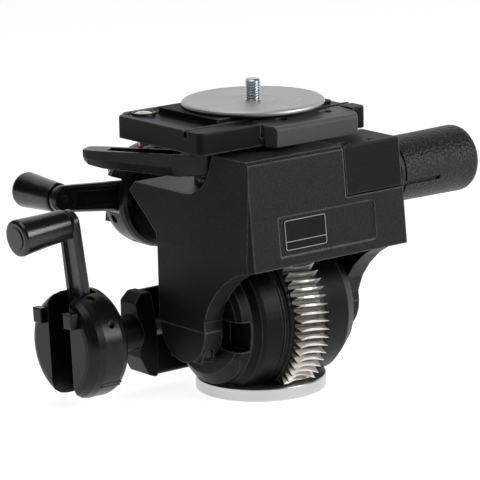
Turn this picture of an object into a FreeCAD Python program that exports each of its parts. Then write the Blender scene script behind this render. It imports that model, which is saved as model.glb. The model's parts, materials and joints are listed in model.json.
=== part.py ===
import FreeCAD, Part
import math
import os

# Geared tripod head.  Millimetres, +Z up.
# Origin: centre of the round base disc, on its underside, on the pan axis.
# X runs along the tilt axis, -Y is the front of the head.

# ---------------------------------------------------------------- fits
RUN_FIT = 0.06          # radial clearance of a shaft that turns in its bore
SEAT = 0.3              # air between a loose piece and its seat
TOUCH = 0.05            # air between two pieces that are clamped together
SCREW_FIT = 0.2         # radial clearance of a screw in its hole
SEAM = 0.5              # seam between two castings
PAST = 1.0              # reach of a cutter past the surface that it cuts
REACH = 20.0            # reach of a broad cutter outside the piece

# ---------------------------------------------------------------- base and pan
BASE_R = 39.3
BASE_T = 8.0
BASE_EDGE = 0.9         # rounding of the disc's edges
TRIPOD_THREAD_R = 4.0   # 3/8 inch thread, wall after tapping
TRIPOD_THREAD_DEPTH = 14.0
GRIP_RINGS = (22.0, 29.0, 36.0)
RING_W = 1.2
RING_DEPTH = 0.5
POST_R = 12.0
POST_TOP = 31.0
COLLAR_W = 4.0          # washer face round the foot of the post
COLLAR_GAP = 0.2
FLOOR_GAP = 1.2         # pan housing above the base disc

# ---------------------------------------------------------------- gears
MODULE = 1.5
ADDENDUM = 1.5
DEDENDUM = 1.8
PRESSURE_DEG = 22.0
GAP_CLEARANCE = 0.17    # each side of a wheel's tooth gap, at the pitch line
THREAD_RELIEF = 0.34    # each side of a worm thread, for free running
TIP_RELIEF = 0.1        # a worm thread's tip, short of the full addendum
CREST_LAND = 0.3        # flat left on a tooth where the rim is highest
THROAT_STEPS = 6        # cones that make up the hollow of a wheel's rim
THREAD_SINK = 0.4       # foot of a worm thread, inside its core

PAN_WHEEL_MID_Z = 40.0
PAN_WHEEL_W = 9.0
PAN_TEETH = 32
PAN_WORM_PITCH_R = 6.0
PAN_WORM_TURNS = 4
PAN_RIM_RISE = 1.0      # how much higher the rim stands at its ends
PAN_BOLT_R = 6.0
PAN_BOLT_HEAD_R = 9.0
PAN_BOLT_HEAD_T = 4.0
PAN_PILOT_R = 3.0
PAN_PILOT_END = 25.0

TILT_AXIS_Z = 46.0
TILT_TEETH = 64
TILT_WORM_PITCH_R = 8.0
TILT_WORM_TURNS = 4
TILT_GEAR_W = 21.0
TILT_RIM_RISE = 3.2     # how much higher the rim stands at its ends
TILT_GEAR_INNER_R = 40.0
TILT_PILOT_R = 4.0
TILT_PILOT_END = 26.5

PAN_PITCH_R = MODULE * PAN_TEETH / 2.0
PAN_WORM_Y = PAN_PITCH_R + PAN_WORM_PITCH_R
TILT_PITCH_R = MODULE * TILT_TEETH / 2.0
TILT_WORM_Z = TILT_AXIS_Z + TILT_PITCH_R + TILT_WORM_PITCH_R

# ---------------------------------------------------------------- pan housing
DRUM_X0 = -44.4
DRUM_X1 = 46.4
DRUM_R = 43.0
DRUM_NECK_R = 37.0
DRUM_LIP = 2.6          # rise of the drum's edges beside the tilt gear
FLARE_W = 15.5          # how far the drum's foot widens beyond the base disc
FLARE_H = 24.0
AXLE_R = 11.0
AXLE_DEPTH = 14.0       # length of an axle inside the drum
AXLE_SINK = 0.1         # its flange, below the drum's end face
JOURNAL_R = 8.0
POCKET_DEPTH = 8.0      # recess in the drum's left end
POCKET_Y = -18.0
POCKET_LOW = 12.0       # below the tilt axis
POCKET_HIGH = 6.0       # above the tilt axis
WHEEL_ROOM = 4.0        # air round the pan wheel's pitch circle
WHEEL_ROOM_H = 10.0     # height of its room over the wheel's middle
PAN_WORM_ROOM = 0.7     # air round the pan worm's thread
PAN_ROOM_HALF = 18.0

# ---------------------------------------------------------------- pan bearing box
BOX_X0 = -72.0
BOX_CHEEK_GAP = 1.2     # between the box and the tilting body's cheek
BOX_TOP_Z = 62.5
BOX_FOOT_Z = 11.0
BOX_FRONT = 6.5         # in front of the pan worm's axis
BOX_BACK = 12.0         # behind the pan worm's axis
BRACKET_ROOT = 14.4     # how deep the bracket runs into the drum
BRACKET_FRONT = 3.0     # in front of the pan worm's axis
BRACKET_BACK = 11.0     # behind the pan worm's axis
BRACKET_RISE = 5.5      # over the pan worm's axis
BEVEL_Y = 1.0           # top of the box's front bevel, in front of the axis
BEVEL_Z = 1.0           # foot of that bevel, over the axis
WEB_T = 2.5
WEB_LOW = 3.0           # web's foot above the box's
WEB_HIGH = 1.0          # web's top below the box's
PAN_NECK_R = 11.0
PAN_NECK_GAP = 9.0      # between the neck's end and the crank

# ---------------------------------------------------------------- tilting body
BODY_X0 = -58.0
BODY_X1 = 60.0
CHEEK_T = 13.0
CHEEK_WALL = 3.0        # closed end of a bearing
CHEEK_REAR_Y = 22.5
BOSS_R = 21.5
FRONT_BOTTOM_Y = -66.0
FRONT_TOP_Y = -60.0
BODY_BOTTOM_Z = 89.0
BODY_TOP_Z = 152.5
TOP_EDGE = 2.0          # chamfer between the front face and the top
LEDGE_Z = 126.0
SCOOP_TOP_Y = -27.0
SCOOP_FOOT_Y = -2.0
REAR_Y = 51.0
SIDE_DRAFT = 4.5
DRAFT_FOOT = 6.0        # start of the draft above the body's lower edge
DRAFT_TOP = 5.0         # where the draft is measured, over the body's top
CORNER_CHAMFER = 3.2
CAVITY_R = 54.0
CAVITY_FRONT_Y = -55.0
CAVITY_H = 40.0
MOUTH_H = 36.0          # open front below the body, over the tilt axis
FRONT_WALL = 9.0
HOLLOW_REAR_Y = -30.0
HOLLOW_FOOT = 30.0
HOLLOW_INSET = 4.0
ROOF_T = 24.0
WORM_WALL_HALF = 18.0   # half width of the wall that carries the tilt worm
WORM_WALL_LOW = 45.0
TILT_WORM_ROOM = 0.9    # air round the tilt worm's thread
TILT_ROOM_HALF = 19.0
SNOUT_R = 15.0
SNOUT_TIP_R = 11.0
SNOUT_GAP = 6.0         # between the snout's end and the crank
SNOUT_TIP_L = 8.0
SNOUT_ROOT = 8.0
LABEL_X0 = -35.0
LABEL_X1 = 37.0
LABEL_Z0 = 95.0
LABEL_Z1 = 118.0
LABEL_DEPTH = 0.9
CAP_EAR = 20.5          # depth of a bearing cap's flat foot below the axis
CAP_EAR_SLOPE = 7.0
CAP_INSET = 2.0
CAP_ARC_STEPS = 14

# ---------------------------------------------------------------- socket screws
# Radii of head, shank and socket.
CAP_SCREW = (3.1, 1.9, 1.4)
BLOCK_SCREW = (3.0, 1.9, 1.5)
JAW_SCREW = (3.1, 1.8, 1.5)
CAP_SCREW_Y = (-15.0, 15.0)
CAP_SCREW_SEAT = 12.0   # below the tilt axis
CAP_SCREW_HEAD = 4.0
BLOCK_SCREW_X = (23.0, 42.0)
BLOCK_SCREW_Y = -53.0
BLOCK_SCREW_SEAT = 4.0  # below the body's top
BLOCK_SCREW_TOP = 0.9
JAW_SCREW_X = (-8.0, 26.0)
JAW_SCREW_Y = -34.0
JAW_SCREW_SEAT = 4.0    # above the rail
JAW_SCREW_HEAD = 2.7
SOCKET_DEPTH = 2.0
JAW_SOCKET_DEPTH = 1.7

# ---------------------------------------------------------------- side grip
GRIP_BLOCK_X0 = 16.5
GRIP_BLOCK_Z0 = 122.5
GRIP_BLOCK_Y1 = -26.0
GRIP_Y = -44.0
GRIP_Z = 128.8
FLANGE_T = 3.0
FLANGE_INSET = 1.5
SIDE_GRIP_R = 20.0
SIDE_GRIP_L = 59.0
SIDE_GRIP_ROUND = 6.0
SPIGOT_R = 8.0
SPIGOT_L = 43.5
GRIP_SLOT_L = 26.0
GRIP_SLOT_DEPTH = 3.0
GRIP_SLOT_LOW = 6.0     # below the grip's axis
GRIP_SLOT_W = 2.4

# ---------------------------------------------------------------- platform
PLAT_X0 = -72.0
PLAT_X1 = 52.0
PLAT_Y0 = -40.0
PLAT_Y1 = 46.0
PLAT_GAP = 3.5          # platform above the body's top
PLAT_T = 13.0
PLAT_CORNER_R = 4.0
PLAT_EDGE = 0.9
CUT_CORNER_X = 12.0
CUT_CORNER_Y = 9.0
RIM_W = 4.0
RIM_DEPTH = 0.8
PLAT_Z0 = BODY_TOP_Z + PLAT_GAP
PLAT_Z1 = PLAT_Z0 + PLAT_T
NECK_X = -6.0
NECK_Y = 4.0
NECK_R = 30.0
TURNTABLE_R = 31.5
TURNTABLE_LIP_Y = -24.0

# ---------------------------------------------------------------- clamp jaw
RAIL_Y = -27.6
RAIL_H = 4.6            # height of the rail step over the platform's underside
RAIL_Z = PLAT_Z0 + RAIL_H
RAIL_GROOVE_W = 3.6
RAIL_GROOVE_DEPTH = 4.5
JAW_X0 = -25.0
JAW_X1 = 41.0
JAW_FRONT_Y = -48.0
JAW_FOOT_Z = PLAT_Z0 - 1.0
JAW_ROOM_X0 = 3.0       # air at the jaw's left end
JAW_ROOM_X1 = 0.6       # air at its right end
JAW_TRAVEL = 2.5
JAW_SLOT_HALF = 2.4
JAW_SLOT_END = 2.2
JAW_END_X = 3.5
JAW_END_Y = 10.0

# ---------------------------------------------------------------- level, lever, safety pin
LEVEL_X = -56.0
LEVEL_Y = 35.0
LEVEL_R = 7.0
LEVEL_DEPTH = 6.0
LEVEL_WALL = 1.0
LEVEL_RISE = 0.5        # ring above the platform
VIAL_DEPTH = 4.6
VIAL_DOME = 0.7
LEVER_TOP_Z = PLAT_Z0 - 6.0
LEVER_H = 13.0
LEVER_L = 75.0
LEVER_PIVOT = (-47.0, -12.0)
LEVER_ANGLE = 122.0
LEVER_HUB_R = 8.0
LEVER_PIN_R = 3.0
LEVER_PIN_IN = 8.0
PIN_HEAD_W = 1.8
PIN_HEAD_T = 2.0
PIN_HEAD_GAP = 1.0      # between the pin's head and the lever
SAFETY_X = -59.0
SAFETY_Y = 31.0
SAFETY_R = 2.5
SAFETY_BORE = 7.0
SAFETY_IN = 3.5
SAFETY_LIFT = 0.8       # button above the lever's top
SAFETY_HEAD_R = 3.3
SAFETY_HEAD_T = 1.4

# ---------------------------------------------------------------- camera plate
PLATE_X0 = -46.0
PLATE_X1 = 40.0
PLATE_Y0 = -22.5
PLATE_Y1 = 34.0
PLATE_CORNER_R = 1.0
PLATE_RISE = 2.6        # plate's top above the platform
PLATE_UNDER = 0.1       # air under the plate
CHANNEL_END = 10.0      # closed end of the channel, from the platform's left
CHANNEL_DEPTH = 1.6
DISC_X = -1.5
DISC_R = 42.5
DISC_T = 3.4
DISC_DISH_R = 13.0
DISC_DISH_DEPTH = 0.6
DISC_Z = PLAT_Z1 + PLATE_RISE
STUD_R = 4.76           # 3/8 inch thread, outside
STUD_L = 12.0
STUD_COLLAR = 0.5
STUD_HOLE = 0.6         # radial clearance of the hole round the stud
STUD_SINK = 1.0         # stud's foot, below the platform's top

# ---------------------------------------------------------------- cranks
CRANK_R = 32.4
CRANK_T = 27.7
CRANK_SHAFT_R = 5.0
CRANK_BORE = 4.0
SLOT_W = 21.5
SLOT_DEPTH = 20.5
FOLD_X = 11.0           # fold pin above the crank's inner face
FOLD_R = 14.4           # fold pin from the crank's own axis
FOLD_PIN_R = 2.0
FOLD_PIN_SHORT = 3.0    # its ends, inside the crank's rim
ARM_L = 57.6            # fold pin to grip axis
ARM_W = 19.0
ARM_T = 6.0
ARM_TAPER = 1.4         # each side, from the fold pin to the grip
ARM_CHAMFER = 1.5
ARM_EYE = 0.3           # eye's radius beyond half the arm's thickness
CHANNEL_EDGE = 5.0      # arm's hollow, from its sides
CHANNEL_T = 1.6
CHANNEL_LOW = 14.0      # from the fold pin
CHANNEL_HIGH = 9.0      # from the grip's axis
GRIP_L = 34.5
GRIP_R = 9.8
SPINDLE_R = 2.5
SPINDLE_SINK = 0.2
GRIP_LIP = 0.8
CAP_EDGE = 3.1
CAP_T = 1.3
CLIP_T = 5.0
CLIP_W = 8.0
CLIP_GAP = 0.5          # from the slot's wall
CLIP_LIFT = 0.02
CLIP_LOW = 13.5         # from the crank's axis
CLIP_HIGH = 22.5
SET_SCREW_X = 15.0
SET_SCREW_R = 2.5
SET_SCREW_IN = 25.5     # foot of the screw's hole, outside the slot's wall
SET_SCREW_SINK = 2.0
SET_SCREW_ANGLE = -28.0
PAN_CRANK_X = -97.0     # inner face of the pan crank
PAN_CRANK_TURN = 3.0    # rest angle of the pan crank on its shaft
PAN_ARM_LEAN = 5.0      # rest angle of the pan crank's arm, from upright
TILT_CRANK_Y = 88.6     # inner face of the tilt crank
TILT_CRANK_LIFT = 6.0   # rest angle of the tilt crank's arm over the horizontal


# ================================================================ plain solids
def V(x, y, z):
    return FreeCAD.Vector(x, y, z)


def box(x0, x1, y0, y1, z0, z1):
    return Part.makeBox(x1 - x0, y1 - y0, z1 - z0, V(x0, y0, z0))


def cyl_x(r, x0, x1, y, z):
    return Part.makeCylinder(r, abs(x1 - x0), V(min(x0, x1), y, z), V(1, 0, 0))


def cyl_y(r, y0, y1, x, z):
    return Part.makeCylinder(r, y1 - y0, V(x, y0, z), V(0, 1, 0))


def cyl_z(r, z0, z1, x=0.0, y=0.0):
    return Part.makeCylinder(r, abs(z1 - z0), V(x, y, min(z0, z1)), V(0, 0, 1))


def prism_x(points, x0, x1):
    """Extrude a closed (y, z) outline along X."""
    wire = Part.makePolygon([V(x0, y, z) for y, z in points + points[:1]])
    return Part.Face(wire).extrude(V(x1 - x0, 0, 0))


def prism_y(points, y0, y1):
    """Extrude a closed (x, z) outline along Y."""
    wire = Part.makePolygon([V(x, y0, z) for x, z in points + points[:1]])
    return Part.Face(wire).extrude(V(0, y1 - y0, 0))


def prism_z(points, z0, z1):
    """Extrude a closed (x, y) outline along Z."""
    wire = Part.makePolygon([V(x, y, z0) for x, y in points + points[:1]])
    return Part.Face(wire).extrude(V(0, 0, z1 - z0))


def revolve(points, base, axis, side):
    """Revolve (along axis, out along side) points about the axis through base."""
    corners = [base + axis * a + side * r for a, r in points]
    face = Part.Face(Part.makePolygon(corners + corners[:1]))
    return face.revolve(base, axis, 360)


def edges_where(shape, test):
    return [e for e in shape.Edges if test(e)]


def is_along(edge, axis):
    """True for a straight edge that lies along the axis."""
    if len(edge.Vertexes) < 2:
        return False
    if edge.Curve.TypeId != "Part::GeomLine":
        return False
    run = edge.Vertexes[1].Point - edge.Vertexes[0].Point
    near = 0.02
    return run.getAngle(axis) < near or run.getAngle(axis) > math.pi - near


def rounded(shape, radius, test):
    """Fillet the edges that pass the test; keep the shape if the kernel can't."""
    chosen = edges_where(shape, test)
    if not chosen:
        return shape
    try:
        result = shape.makeFillet(radius, chosen)
    except Part.OCCError:
        return shape
    return result if result.isValid() and result.Volume > 0 else shape


def clean(shape):
    return shape.removeSplitter()


def socket_screw(radii, x, y, foot, seat, top, socket):
    """Screw along Z: shank from foot to seat, head from seat to top, either way up."""
    head_r, shank_r, key_r = radii
    out = math.copysign(1.0, top - seat)
    head = cyl_z(head_r, seat, top, x, y)
    key = cyl_z(key_r, top - out * socket, top + out * PAST, x, y)
    return head.cut(key).fuse(cyl_z(shank_r, foot, seat, x, y))


def screw_hole(radii, x, y, foot, seat, top):
    """Room for such a screw: a pocket for the head and a hole for the shank."""
    head_r, shank_r, key_r = radii
    pocket = cyl_z(head_r + SEAT, seat, top, x, y)
    return pocket.fuse(cyl_z(shank_r + SCREW_FIT, foot, seat, x, y))


def save(name, *shapes):
    os.makedirs("parts", exist_ok=True)
    solids = [s for shape in shapes for s in shape.Solids]
    body = solids[0] if len(solids) == 1 else Part.makeCompound(solids)
    body.exportStep("parts/" + name + ".step")
    print(name, len(solids), round(body.Volume), body.isValid())


# ================================================================ gear pair
def rack_section(height_in, height_out, extra):
    """Half-widths of a thread at its root and tip, measured at the pitch line."""
    quarter = math.pi * MODULE / 4.0
    slope = math.tan(math.radians(PRESSURE_DEG))
    return quarter + extra + height_in * slope, quarter + extra - height_out * slope


def worm_half(turns):
    """Half length of a worm's core: its thread and one plain pitch."""
    return (turns / 2.0 + 1.0) * math.pi * MODULE


def worm(pitch_r, turns, phase_deg):
    """Worm along +Z, centred on the origin, with one real helical thread."""
    pitch = math.pi * MODULE
    root_r = pitch_r - DEDENDUM
    rise = ADDENDUM - TIP_RELIEF
    foot_r = root_r - THREAD_SINK
    wide, narrow = rack_section(DEDENDUM + THREAD_SINK, rise, -THREAD_RELIEF)
    corners = [V(foot_r, 0, -wide), V(pitch_r + rise, 0, -narrow),
               V(pitch_r + rise, 0, narrow), V(foot_r, 0, wide)]
    sweep = Part.BRepOffsetAPI.MakePipeShell(Part.makeHelix(pitch, turns * pitch, pitch_r))
    sweep.setFrenetMode(True)
    sweep.add(Part.makePolygon(corners + corners[:1]))
    sweep.build()
    sweep.makeSolid()
    thread = sweep.shape()
    thread.translate(V(0, 0, -turns * pitch / 2.0))
    result = cyl_z(root_r, -worm_half(turns), worm_half(turns)).fuse(thread)
    result.rotate(V(0, 0, 0), V(0, 0, 1), phase_deg)
    return result


def rim_radius(mid_r, outer_r, width, along):
    """Radius of the hollow rim at a distance from the wheel's middle plane."""
    return mid_r + (outer_r - mid_r) * (2.0 * along / width) ** 2


def tooth_gap(teeth, worm_pitch_r, outer_r, width):
    """Straight-sided gap on the +X side, inclined by the worm's lead."""
    pitch_r = MODULE * teeth / 2.0
    root_r = pitch_r - DEDENDUM
    at_pitch = math.pi * MODULE / 4.0 + GAP_CLEARANCE
    at_rim = math.pi * outer_r / teeth - CREST_LAND / 2.0
    slope = (at_rim - at_pitch) / (outer_r - pitch_r)
    top_r = outer_r + MODULE
    at_root = at_pitch - slope * DEDENDUM
    at_top = at_rim + slope * MODULE
    corners = [V(root_r, -at_root, -width), V(top_r, -at_top, -width),
               V(top_r, at_top, -width), V(root_r, at_root, -width)]
    gap = Part.Face(Part.makePolygon(corners + corners[:1])).extrude(V(0, 0, 2.0 * width))
    lead = math.degrees(math.atan(MODULE / (2.0 * worm_pitch_r)))
    gap.rotate(V(0, 0, 0), V(1, 0, 0), -lead)
    return gap


def worm_wheel(teeth, worm_pitch_r, outer_r, inner_r, width):
    """Wheel about +Z with a hollow rim: teeth are blunt in the middle, sharp at their ends."""
    mid_r = MODULE * teeth / 2.0 + ADDENDUM
    steps = [width * (k / THROAT_STEPS - 0.5) for k in range(THROAT_STEPS + 1)]
    rim = [(along, rim_radius(mid_r, outer_r, width, along)) for along in steps]
    corners = [(-width / 2.0, inner_r)] + rim + [(width / 2.0, inner_r)]
    blank = revolve(corners, V(0, 0, 0), V(0, 0, 1), V(1, 0, 0))
    gap = tooth_gap(teeth, worm_pitch_r, outer_r, width)
    gaps = []
    for k in range(teeth):
        one = gap.copy()
        one.rotate(V(0, 0, 0), V(0, 0, 1), k * 360.0 / teeth)
        gaps.append(one)
    return blank.cut(gaps)


def worm_in_mesh(teeth, worm_pitch_r, turns):
    """Worm along Y beside a wheel about +Z, its thread centred in the gaps."""
    shape = worm(worm_pitch_r, turns, 180)
    shape.rotate(V(0, 0, 0), V(1, 0, 0), -90)
    shape.translate(V(MODULE * teeth / 2.0 + worm_pitch_r, 0, 0))
    return shape


def to_pan(shape):
    """From the wheel's own frame to the pan axis, worm on the +Y side."""
    shape.rotate(V(0, 0, 0), V(0, 0, 1), 90)
    shape.translate(V(0, 0, PAN_WHEEL_MID_Z))
    return shape


def to_tilt(shape):
    """From the wheel's own frame to the tilt axis, worm above the wheel."""
    shape.rotate(V(0, 0, 0), V(0, 1, 0), -90)
    shape.translate(V(0, 0, TILT_AXIS_Z))
    return shape


# ================================================================ base and pan
def base_disc():
    """Turning disc with the pan post on it and the tripod's thread in it."""
    disc = cyl_z(BASE_R, 0, BASE_T)
    disc = rounded(disc, BASE_EDGE, lambda e: e.Curve.TypeId == "Part::GeomCircle")
    post = cyl_z(POST_R, BASE_T, POST_TOP)
    collar = cyl_z(POST_R + COLLAR_W, BASE_T, BASE_T + FLOOR_GAP - COLLAR_GAP)
    hole = cyl_z(TRIPOD_THREAD_R, -PAST, TRIPOD_THREAD_DEPTH)
    rings = [cyl_z(r + RING_W / 2.0, -PAST, RING_DEPTH).cut(cyl_z(r - RING_W / 2.0, -PAST, RING_DEPTH))
             for r in GRIP_RINGS]
    return clean(disc.fuse([post, collar]).cut([hole] + rings))


def pan_wheel():
    """Worm wheel on top of the post, with the hub that it stands on."""
    rim_r = PAN_PITCH_R + ADDENDUM + PAN_RIM_RISE
    wheel = to_pan(worm_wheel(PAN_TEETH, PAN_WORM_PITCH_R, rim_r, PAN_BOLT_R, PAN_WHEEL_W))
    hub = cyl_z(POST_R, POST_TOP, PAN_WHEEL_MID_Z - PAN_WHEEL_W / 2.0)
    hub = hub.cut(cyl_z(PAN_BOLT_R, 0, PAN_WHEEL_MID_Z))
    return clean(wheel.fuse(hub))


def pan_wheel_bolt():
    top = PAN_WHEEL_MID_Z + PAN_WHEEL_W / 2.0
    head = cyl_z(PAN_BOLT_HEAD_R, top, top + PAN_BOLT_HEAD_T)
    return clean(head.fuse(cyl_z(PAN_BOLT_R - RUN_FIT, POST_TOP, top)))


def below_housing():
    """Everything under the pan housing's flat underside."""
    reach = BASE_R + FLARE_W + REACH
    return box(-reach, reach, -reach, reach, -REACH, BASE_T + FLOOR_GAP)


def drum_outline():
    """Half profile of the pan drum along the tilt axis, as (x, radius)."""
    seam = TILT_GEAR_W / 2.0
    r, neck_r, lip_r = DRUM_R, DRUM_NECK_R, DRUM_R + DRUM_LIP
    left = [(DRUM_X0, 0), (DRUM_X0, neck_r - 3.0), (DRUM_X0 + 3.0, neck_r), (DRUM_X0 + 9.0, neck_r + 1.0),
            (DRUM_X0 + 13.0, r - 1.0), (DRUM_X0 + 16.0, r), (-seam - 7.0, r + 1.0), (-seam - 4.5, r),
            (-seam - 2.8, r + 0.6), (-seam - 1.4, lip_r - 0.2), (-seam, lip_r)]
    right = [(seam, lip_r), (seam + 1.4, lip_r - 0.2), (seam + 4.0, r), (seam + 7.0, r + 0.6),
             (DRUM_X1 - 12.0, r - 1.0), (DRUM_X1 - 4.0, neck_r), (DRUM_X1, neck_r - 5.0), (DRUM_X1, 0)]
    return left + right


def drum_flare_trim():
    """Ring that leaves the drum's foot flush with the base disc, widening upward."""
    wide_r = BASE_R + FLARE_W
    flare = Part.makeCone(BASE_R + SEAM, wide_r, FLARE_H, V(0, 0, BASE_T))
    return cyl_z(wide_r, -REACH, BASE_T + FLARE_H).cut(flare)


def drum_pocket():
    """Recess in the drum's left end, in front of the axle."""
    outer_y = -DRUM_R - REACH
    pocket = box(DRUM_X0 - PAST, DRUM_X0 + POCKET_DEPTH, outer_y, POCKET_Y,
                 TILT_AXIS_Z - POCKET_LOW, TILT_AXIS_Z + POCKET_HIGH)
    return rounded(pocket, 3.0, lambda e: is_along(e, V(1, 0, 0)))


def pan_drum():
    """Pan housing: a drum along the tilt axis, cut flat over the base disc."""
    z = TILT_AXIS_Z
    seam = TILT_GEAR_W / 2.0
    drum = revolve(drum_outline(), V(0, 0, z), V(1, 0, 0), V(0, 0, 1))
    gear_seat = cyl_x(TILT_GEAR_INNER_R + REACH, -seam, seam, 0, z)
    gear_seat = gear_seat.cut(cyl_x(TILT_GEAR_INNER_R - TOUCH, -REACH, REACH, 0, z))
    post_bore = cyl_z(POST_R + RUN_FIT, -PAST, PAN_WHEEL_MID_Z)
    pilot_bore = cyl_x(PAN_PILOT_R + RUN_FIT, PAN_ROOM_HALF - PAST, PAN_PILOT_END + PAST,
                       PAN_WORM_Y, PAN_WHEEL_MID_Z)
    axle_bores = [cyl_x(AXLE_R, DRUM_X0 - PAST, DRUM_X0 + AXLE_DEPTH, 0, z),
                  cyl_x(AXLE_R, DRUM_X1 - AXLE_DEPTH, DRUM_X1 + PAST, 0, z)]
    cuts = [below_housing(), drum_flare_trim(), gear_seat, post_bore, pilot_bore, drum_pocket()]
    return drum.cut(cuts + axle_bores)


def pan_box():
    """Bearing box of the pan crank, carried behind the left cheek on a bracket."""
    y, z = PAN_WORM_Y, PAN_WHEEL_MID_Z
    inner, root = BODY_X0 - BOX_CHEEK_GAP, DRUM_X0 + BRACKET_ROOT
    outline = [(inner, BOX_TOP_Z), (BOX_X0 + 5.5, BOX_TOP_Z), (BOX_X0, BOX_TOP_Z - 5.0),
               (BOX_X0, BOX_FOOT_Z + 14.0), (BOX_X0 + 6.0, BOX_FOOT_Z + 2.5), (inner, BOX_FOOT_Z)]
    case = prism_y(outline, y - BOX_FRONT, y + BOX_BACK)
    case = rounded(case, 2.0, lambda e: is_along(e, V(0, 1, 0)))
    bracket = box(inner, root, y - BRACKET_FRONT, y + BRACKET_BACK, BOX_FOOT_Z, z + BRACKET_RISE)
    bracket = rounded(bracket, 3.0, lambda e: is_along(e, V(1, 0, 0)))
    web = box(inner, root, y + BOX_BACK - WEB_T, y + BOX_BACK, BOX_FOOT_Z + WEB_LOW, BOX_TOP_Z - WEB_HIGH)
    neck = cyl_x(PAN_NECK_R, PAN_CRANK_X + PAN_NECK_GAP, BOX_X0, y, z)
    outer_y, over, low = y - REACH, BOX_TOP_Z + PAST, z + BEVEL_Z
    bevel = prism_x([(outer_y, over), (y - BEVEL_Y, over), (y - BOX_FRONT - 0.1, low), (outer_y, low)],
                    BOX_X0 - PAST, inner + PAST)
    return case.cut(bevel).fuse([bracket, web, neck])


def pan_housing():
    y, z = PAN_WORM_Y, PAN_WHEEL_MID_Z
    worm_room = cyl_x(PAN_WORM_PITCH_R + ADDENDUM + PAN_WORM_ROOM, -PAN_ROOM_HALF, PAN_ROOM_HALF, y, z)
    neck_end = PAN_CRANK_X + PAN_NECK_GAP
    shaft_bore = cyl_x(CRANK_SHAFT_R + RUN_FIT, neck_end - PAST, PAST - PAN_ROOM_HALF, y, z)
    wheel_room = cyl_z(PAN_PITCH_R + WHEEL_ROOM, POST_TOP + PAST, z + WHEEL_ROOM_H)
    return clean(pan_drum().fuse(pan_box()).cut([worm_room, shaft_bore, wheel_room]))


def pan_worm():
    """Worm, pilot and shaft in one piece; the crank sits on the shaft's outer end."""
    y, z = PAN_WORM_Y, PAN_WHEEL_MID_Z
    thread = to_pan(worm_in_mesh(PAN_TEETH, PAN_WORM_PITCH_R, PAN_WORM_TURNS))
    half = worm_half(PAN_WORM_TURNS)
    shoulder = PAST - PAN_ROOM_HALF
    shaft = cyl_x(CRANK_SHAFT_R, PAN_CRANK_X - CRANK_BORE, shoulder, y, z)
    step = cyl_x(PAN_WORM_PITCH_R - DEDENDUM, shoulder, -half, y, z)
    pilot = cyl_x(PAN_PILOT_R, half, PAN_PILOT_END, y, z)
    return thread.fuse([shaft, step, pilot])


# ================================================================ tilting body
def tilt_gear():
    """Large worm wheel round the drum, cut flat with it over the base disc."""
    rim_r = TILT_PITCH_R + ADDENDUM + TILT_RIM_RISE
    gear = worm_wheel(TILT_TEETH, TILT_WORM_PITCH_R, rim_r, TILT_GEAR_INNER_R, TILT_GEAR_W)
    return to_tilt(gear).cut(below_housing())


def arc_points(cy, cz, r, start_deg, end_deg, count):
    """Points on an arc in the YZ plane, angles from +Y towards +Z."""
    steps = [start_deg + (end_deg - start_deg) * k / count for k in range(count + 1)]
    return [(cy + r * math.cos(math.radians(a)), cz + r * math.sin(math.radians(a))) for a in steps]


def scoop():
    """Hollow behind the body's front top edge, down to the ledge, as (y, z)."""
    return [(SCOOP_TOP_Y, BODY_TOP_Z), (-25.0, LEDGE_Z + 20.0), (-22.0, LEDGE_Z + 11.0),
            (-16.5, LEDGE_Z + 5.0), (-9.0, LEDGE_Z + 1.2), (SCOOP_FOOT_Y, LEDGE_Z)]


def body_outline():
    """Side view of the tilting body above the split of its bearings, (y, z)."""
    z = TILT_AXIS_Z
    arch = [(-BOSS_R, z), (-BOSS_R + 0.6, z + 6.0), (-25.0, z + 16.0), (-32.0, z + 25.0),
            (-41.0, z + 33.0), (-52.0, z + 39.5), (-58.0, z + 41.5), (FRONT_BOTTOM_Y, BODY_BOTTOM_Z)]
    front = [(FRONT_TOP_Y, BODY_TOP_Z - TOP_EDGE), (FRONT_TOP_Y + TOP_EDGE, BODY_TOP_Z)]
    cheek_y, low = CHEEK_REAR_Y, BODY_BOTTOM_Z
    rear = [(REAR_Y - 5.0, LEDGE_Z), (REAR_Y, LEDGE_Z - 5.0), (REAR_Y, LEDGE_Z - 6.0),
            (cheek_y + 1.5, low + 10.0), (cheek_y, low + 3.0), (cheek_y, z)]
    return arch + front + scoop() + rear


def side_wedge():
    """Wedge that gives the left side its draft above the cheek."""
    outer = BODY_X0 - REACH
    low, high = BODY_BOTTOM_Z + DRAFT_FOOT, BODY_TOP_Z + DRAFT_TOP
    outline = [(BODY_X0, low), (outer, low), (outer, high), (BODY_X0 + SIDE_DRAFT, high)]
    return prism_y(outline, FRONT_BOTTOM_Y - REACH, REAR_Y + REACH)


def front_y(z):
    """Y of the sloping front face at height z."""
    slope = (FRONT_TOP_Y - FRONT_BOTTOM_Y) / (BODY_TOP_Z - TOP_EDGE - BODY_BOTTOM_Z)
    return FRONT_BOTTOM_Y + slope * (z - BODY_BOTTOM_Z)


def label_recess():
    """Shallow panel in the front face, square at its left end."""
    outer_y = FRONT_BOTTOM_Y - REACH
    outline = [(outer_y, LABEL_Z0), (front_y(LABEL_Z0) + LABEL_DEPTH, LABEL_Z0),
               (front_y(LABEL_Z1) + LABEL_DEPTH, LABEL_Z1), (outer_y, LABEL_Z1)]
    pocket = prism_x(outline, LABEL_X0, LABEL_X1)
    return rounded(pocket, 3.0, lambda e: is_along(e, V(0, 1, 0)) and e.CenterOfMass.x > 0)


def journal_bore():
    """Bore of both cheek bearings, closed at the outer ends."""
    return cyl_x(JOURNAL_R + RUN_FIT, BODY_X0 + CHEEK_WALL, BODY_X1 - CHEEK_WALL, 0, TILT_AXIS_Z)


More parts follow.
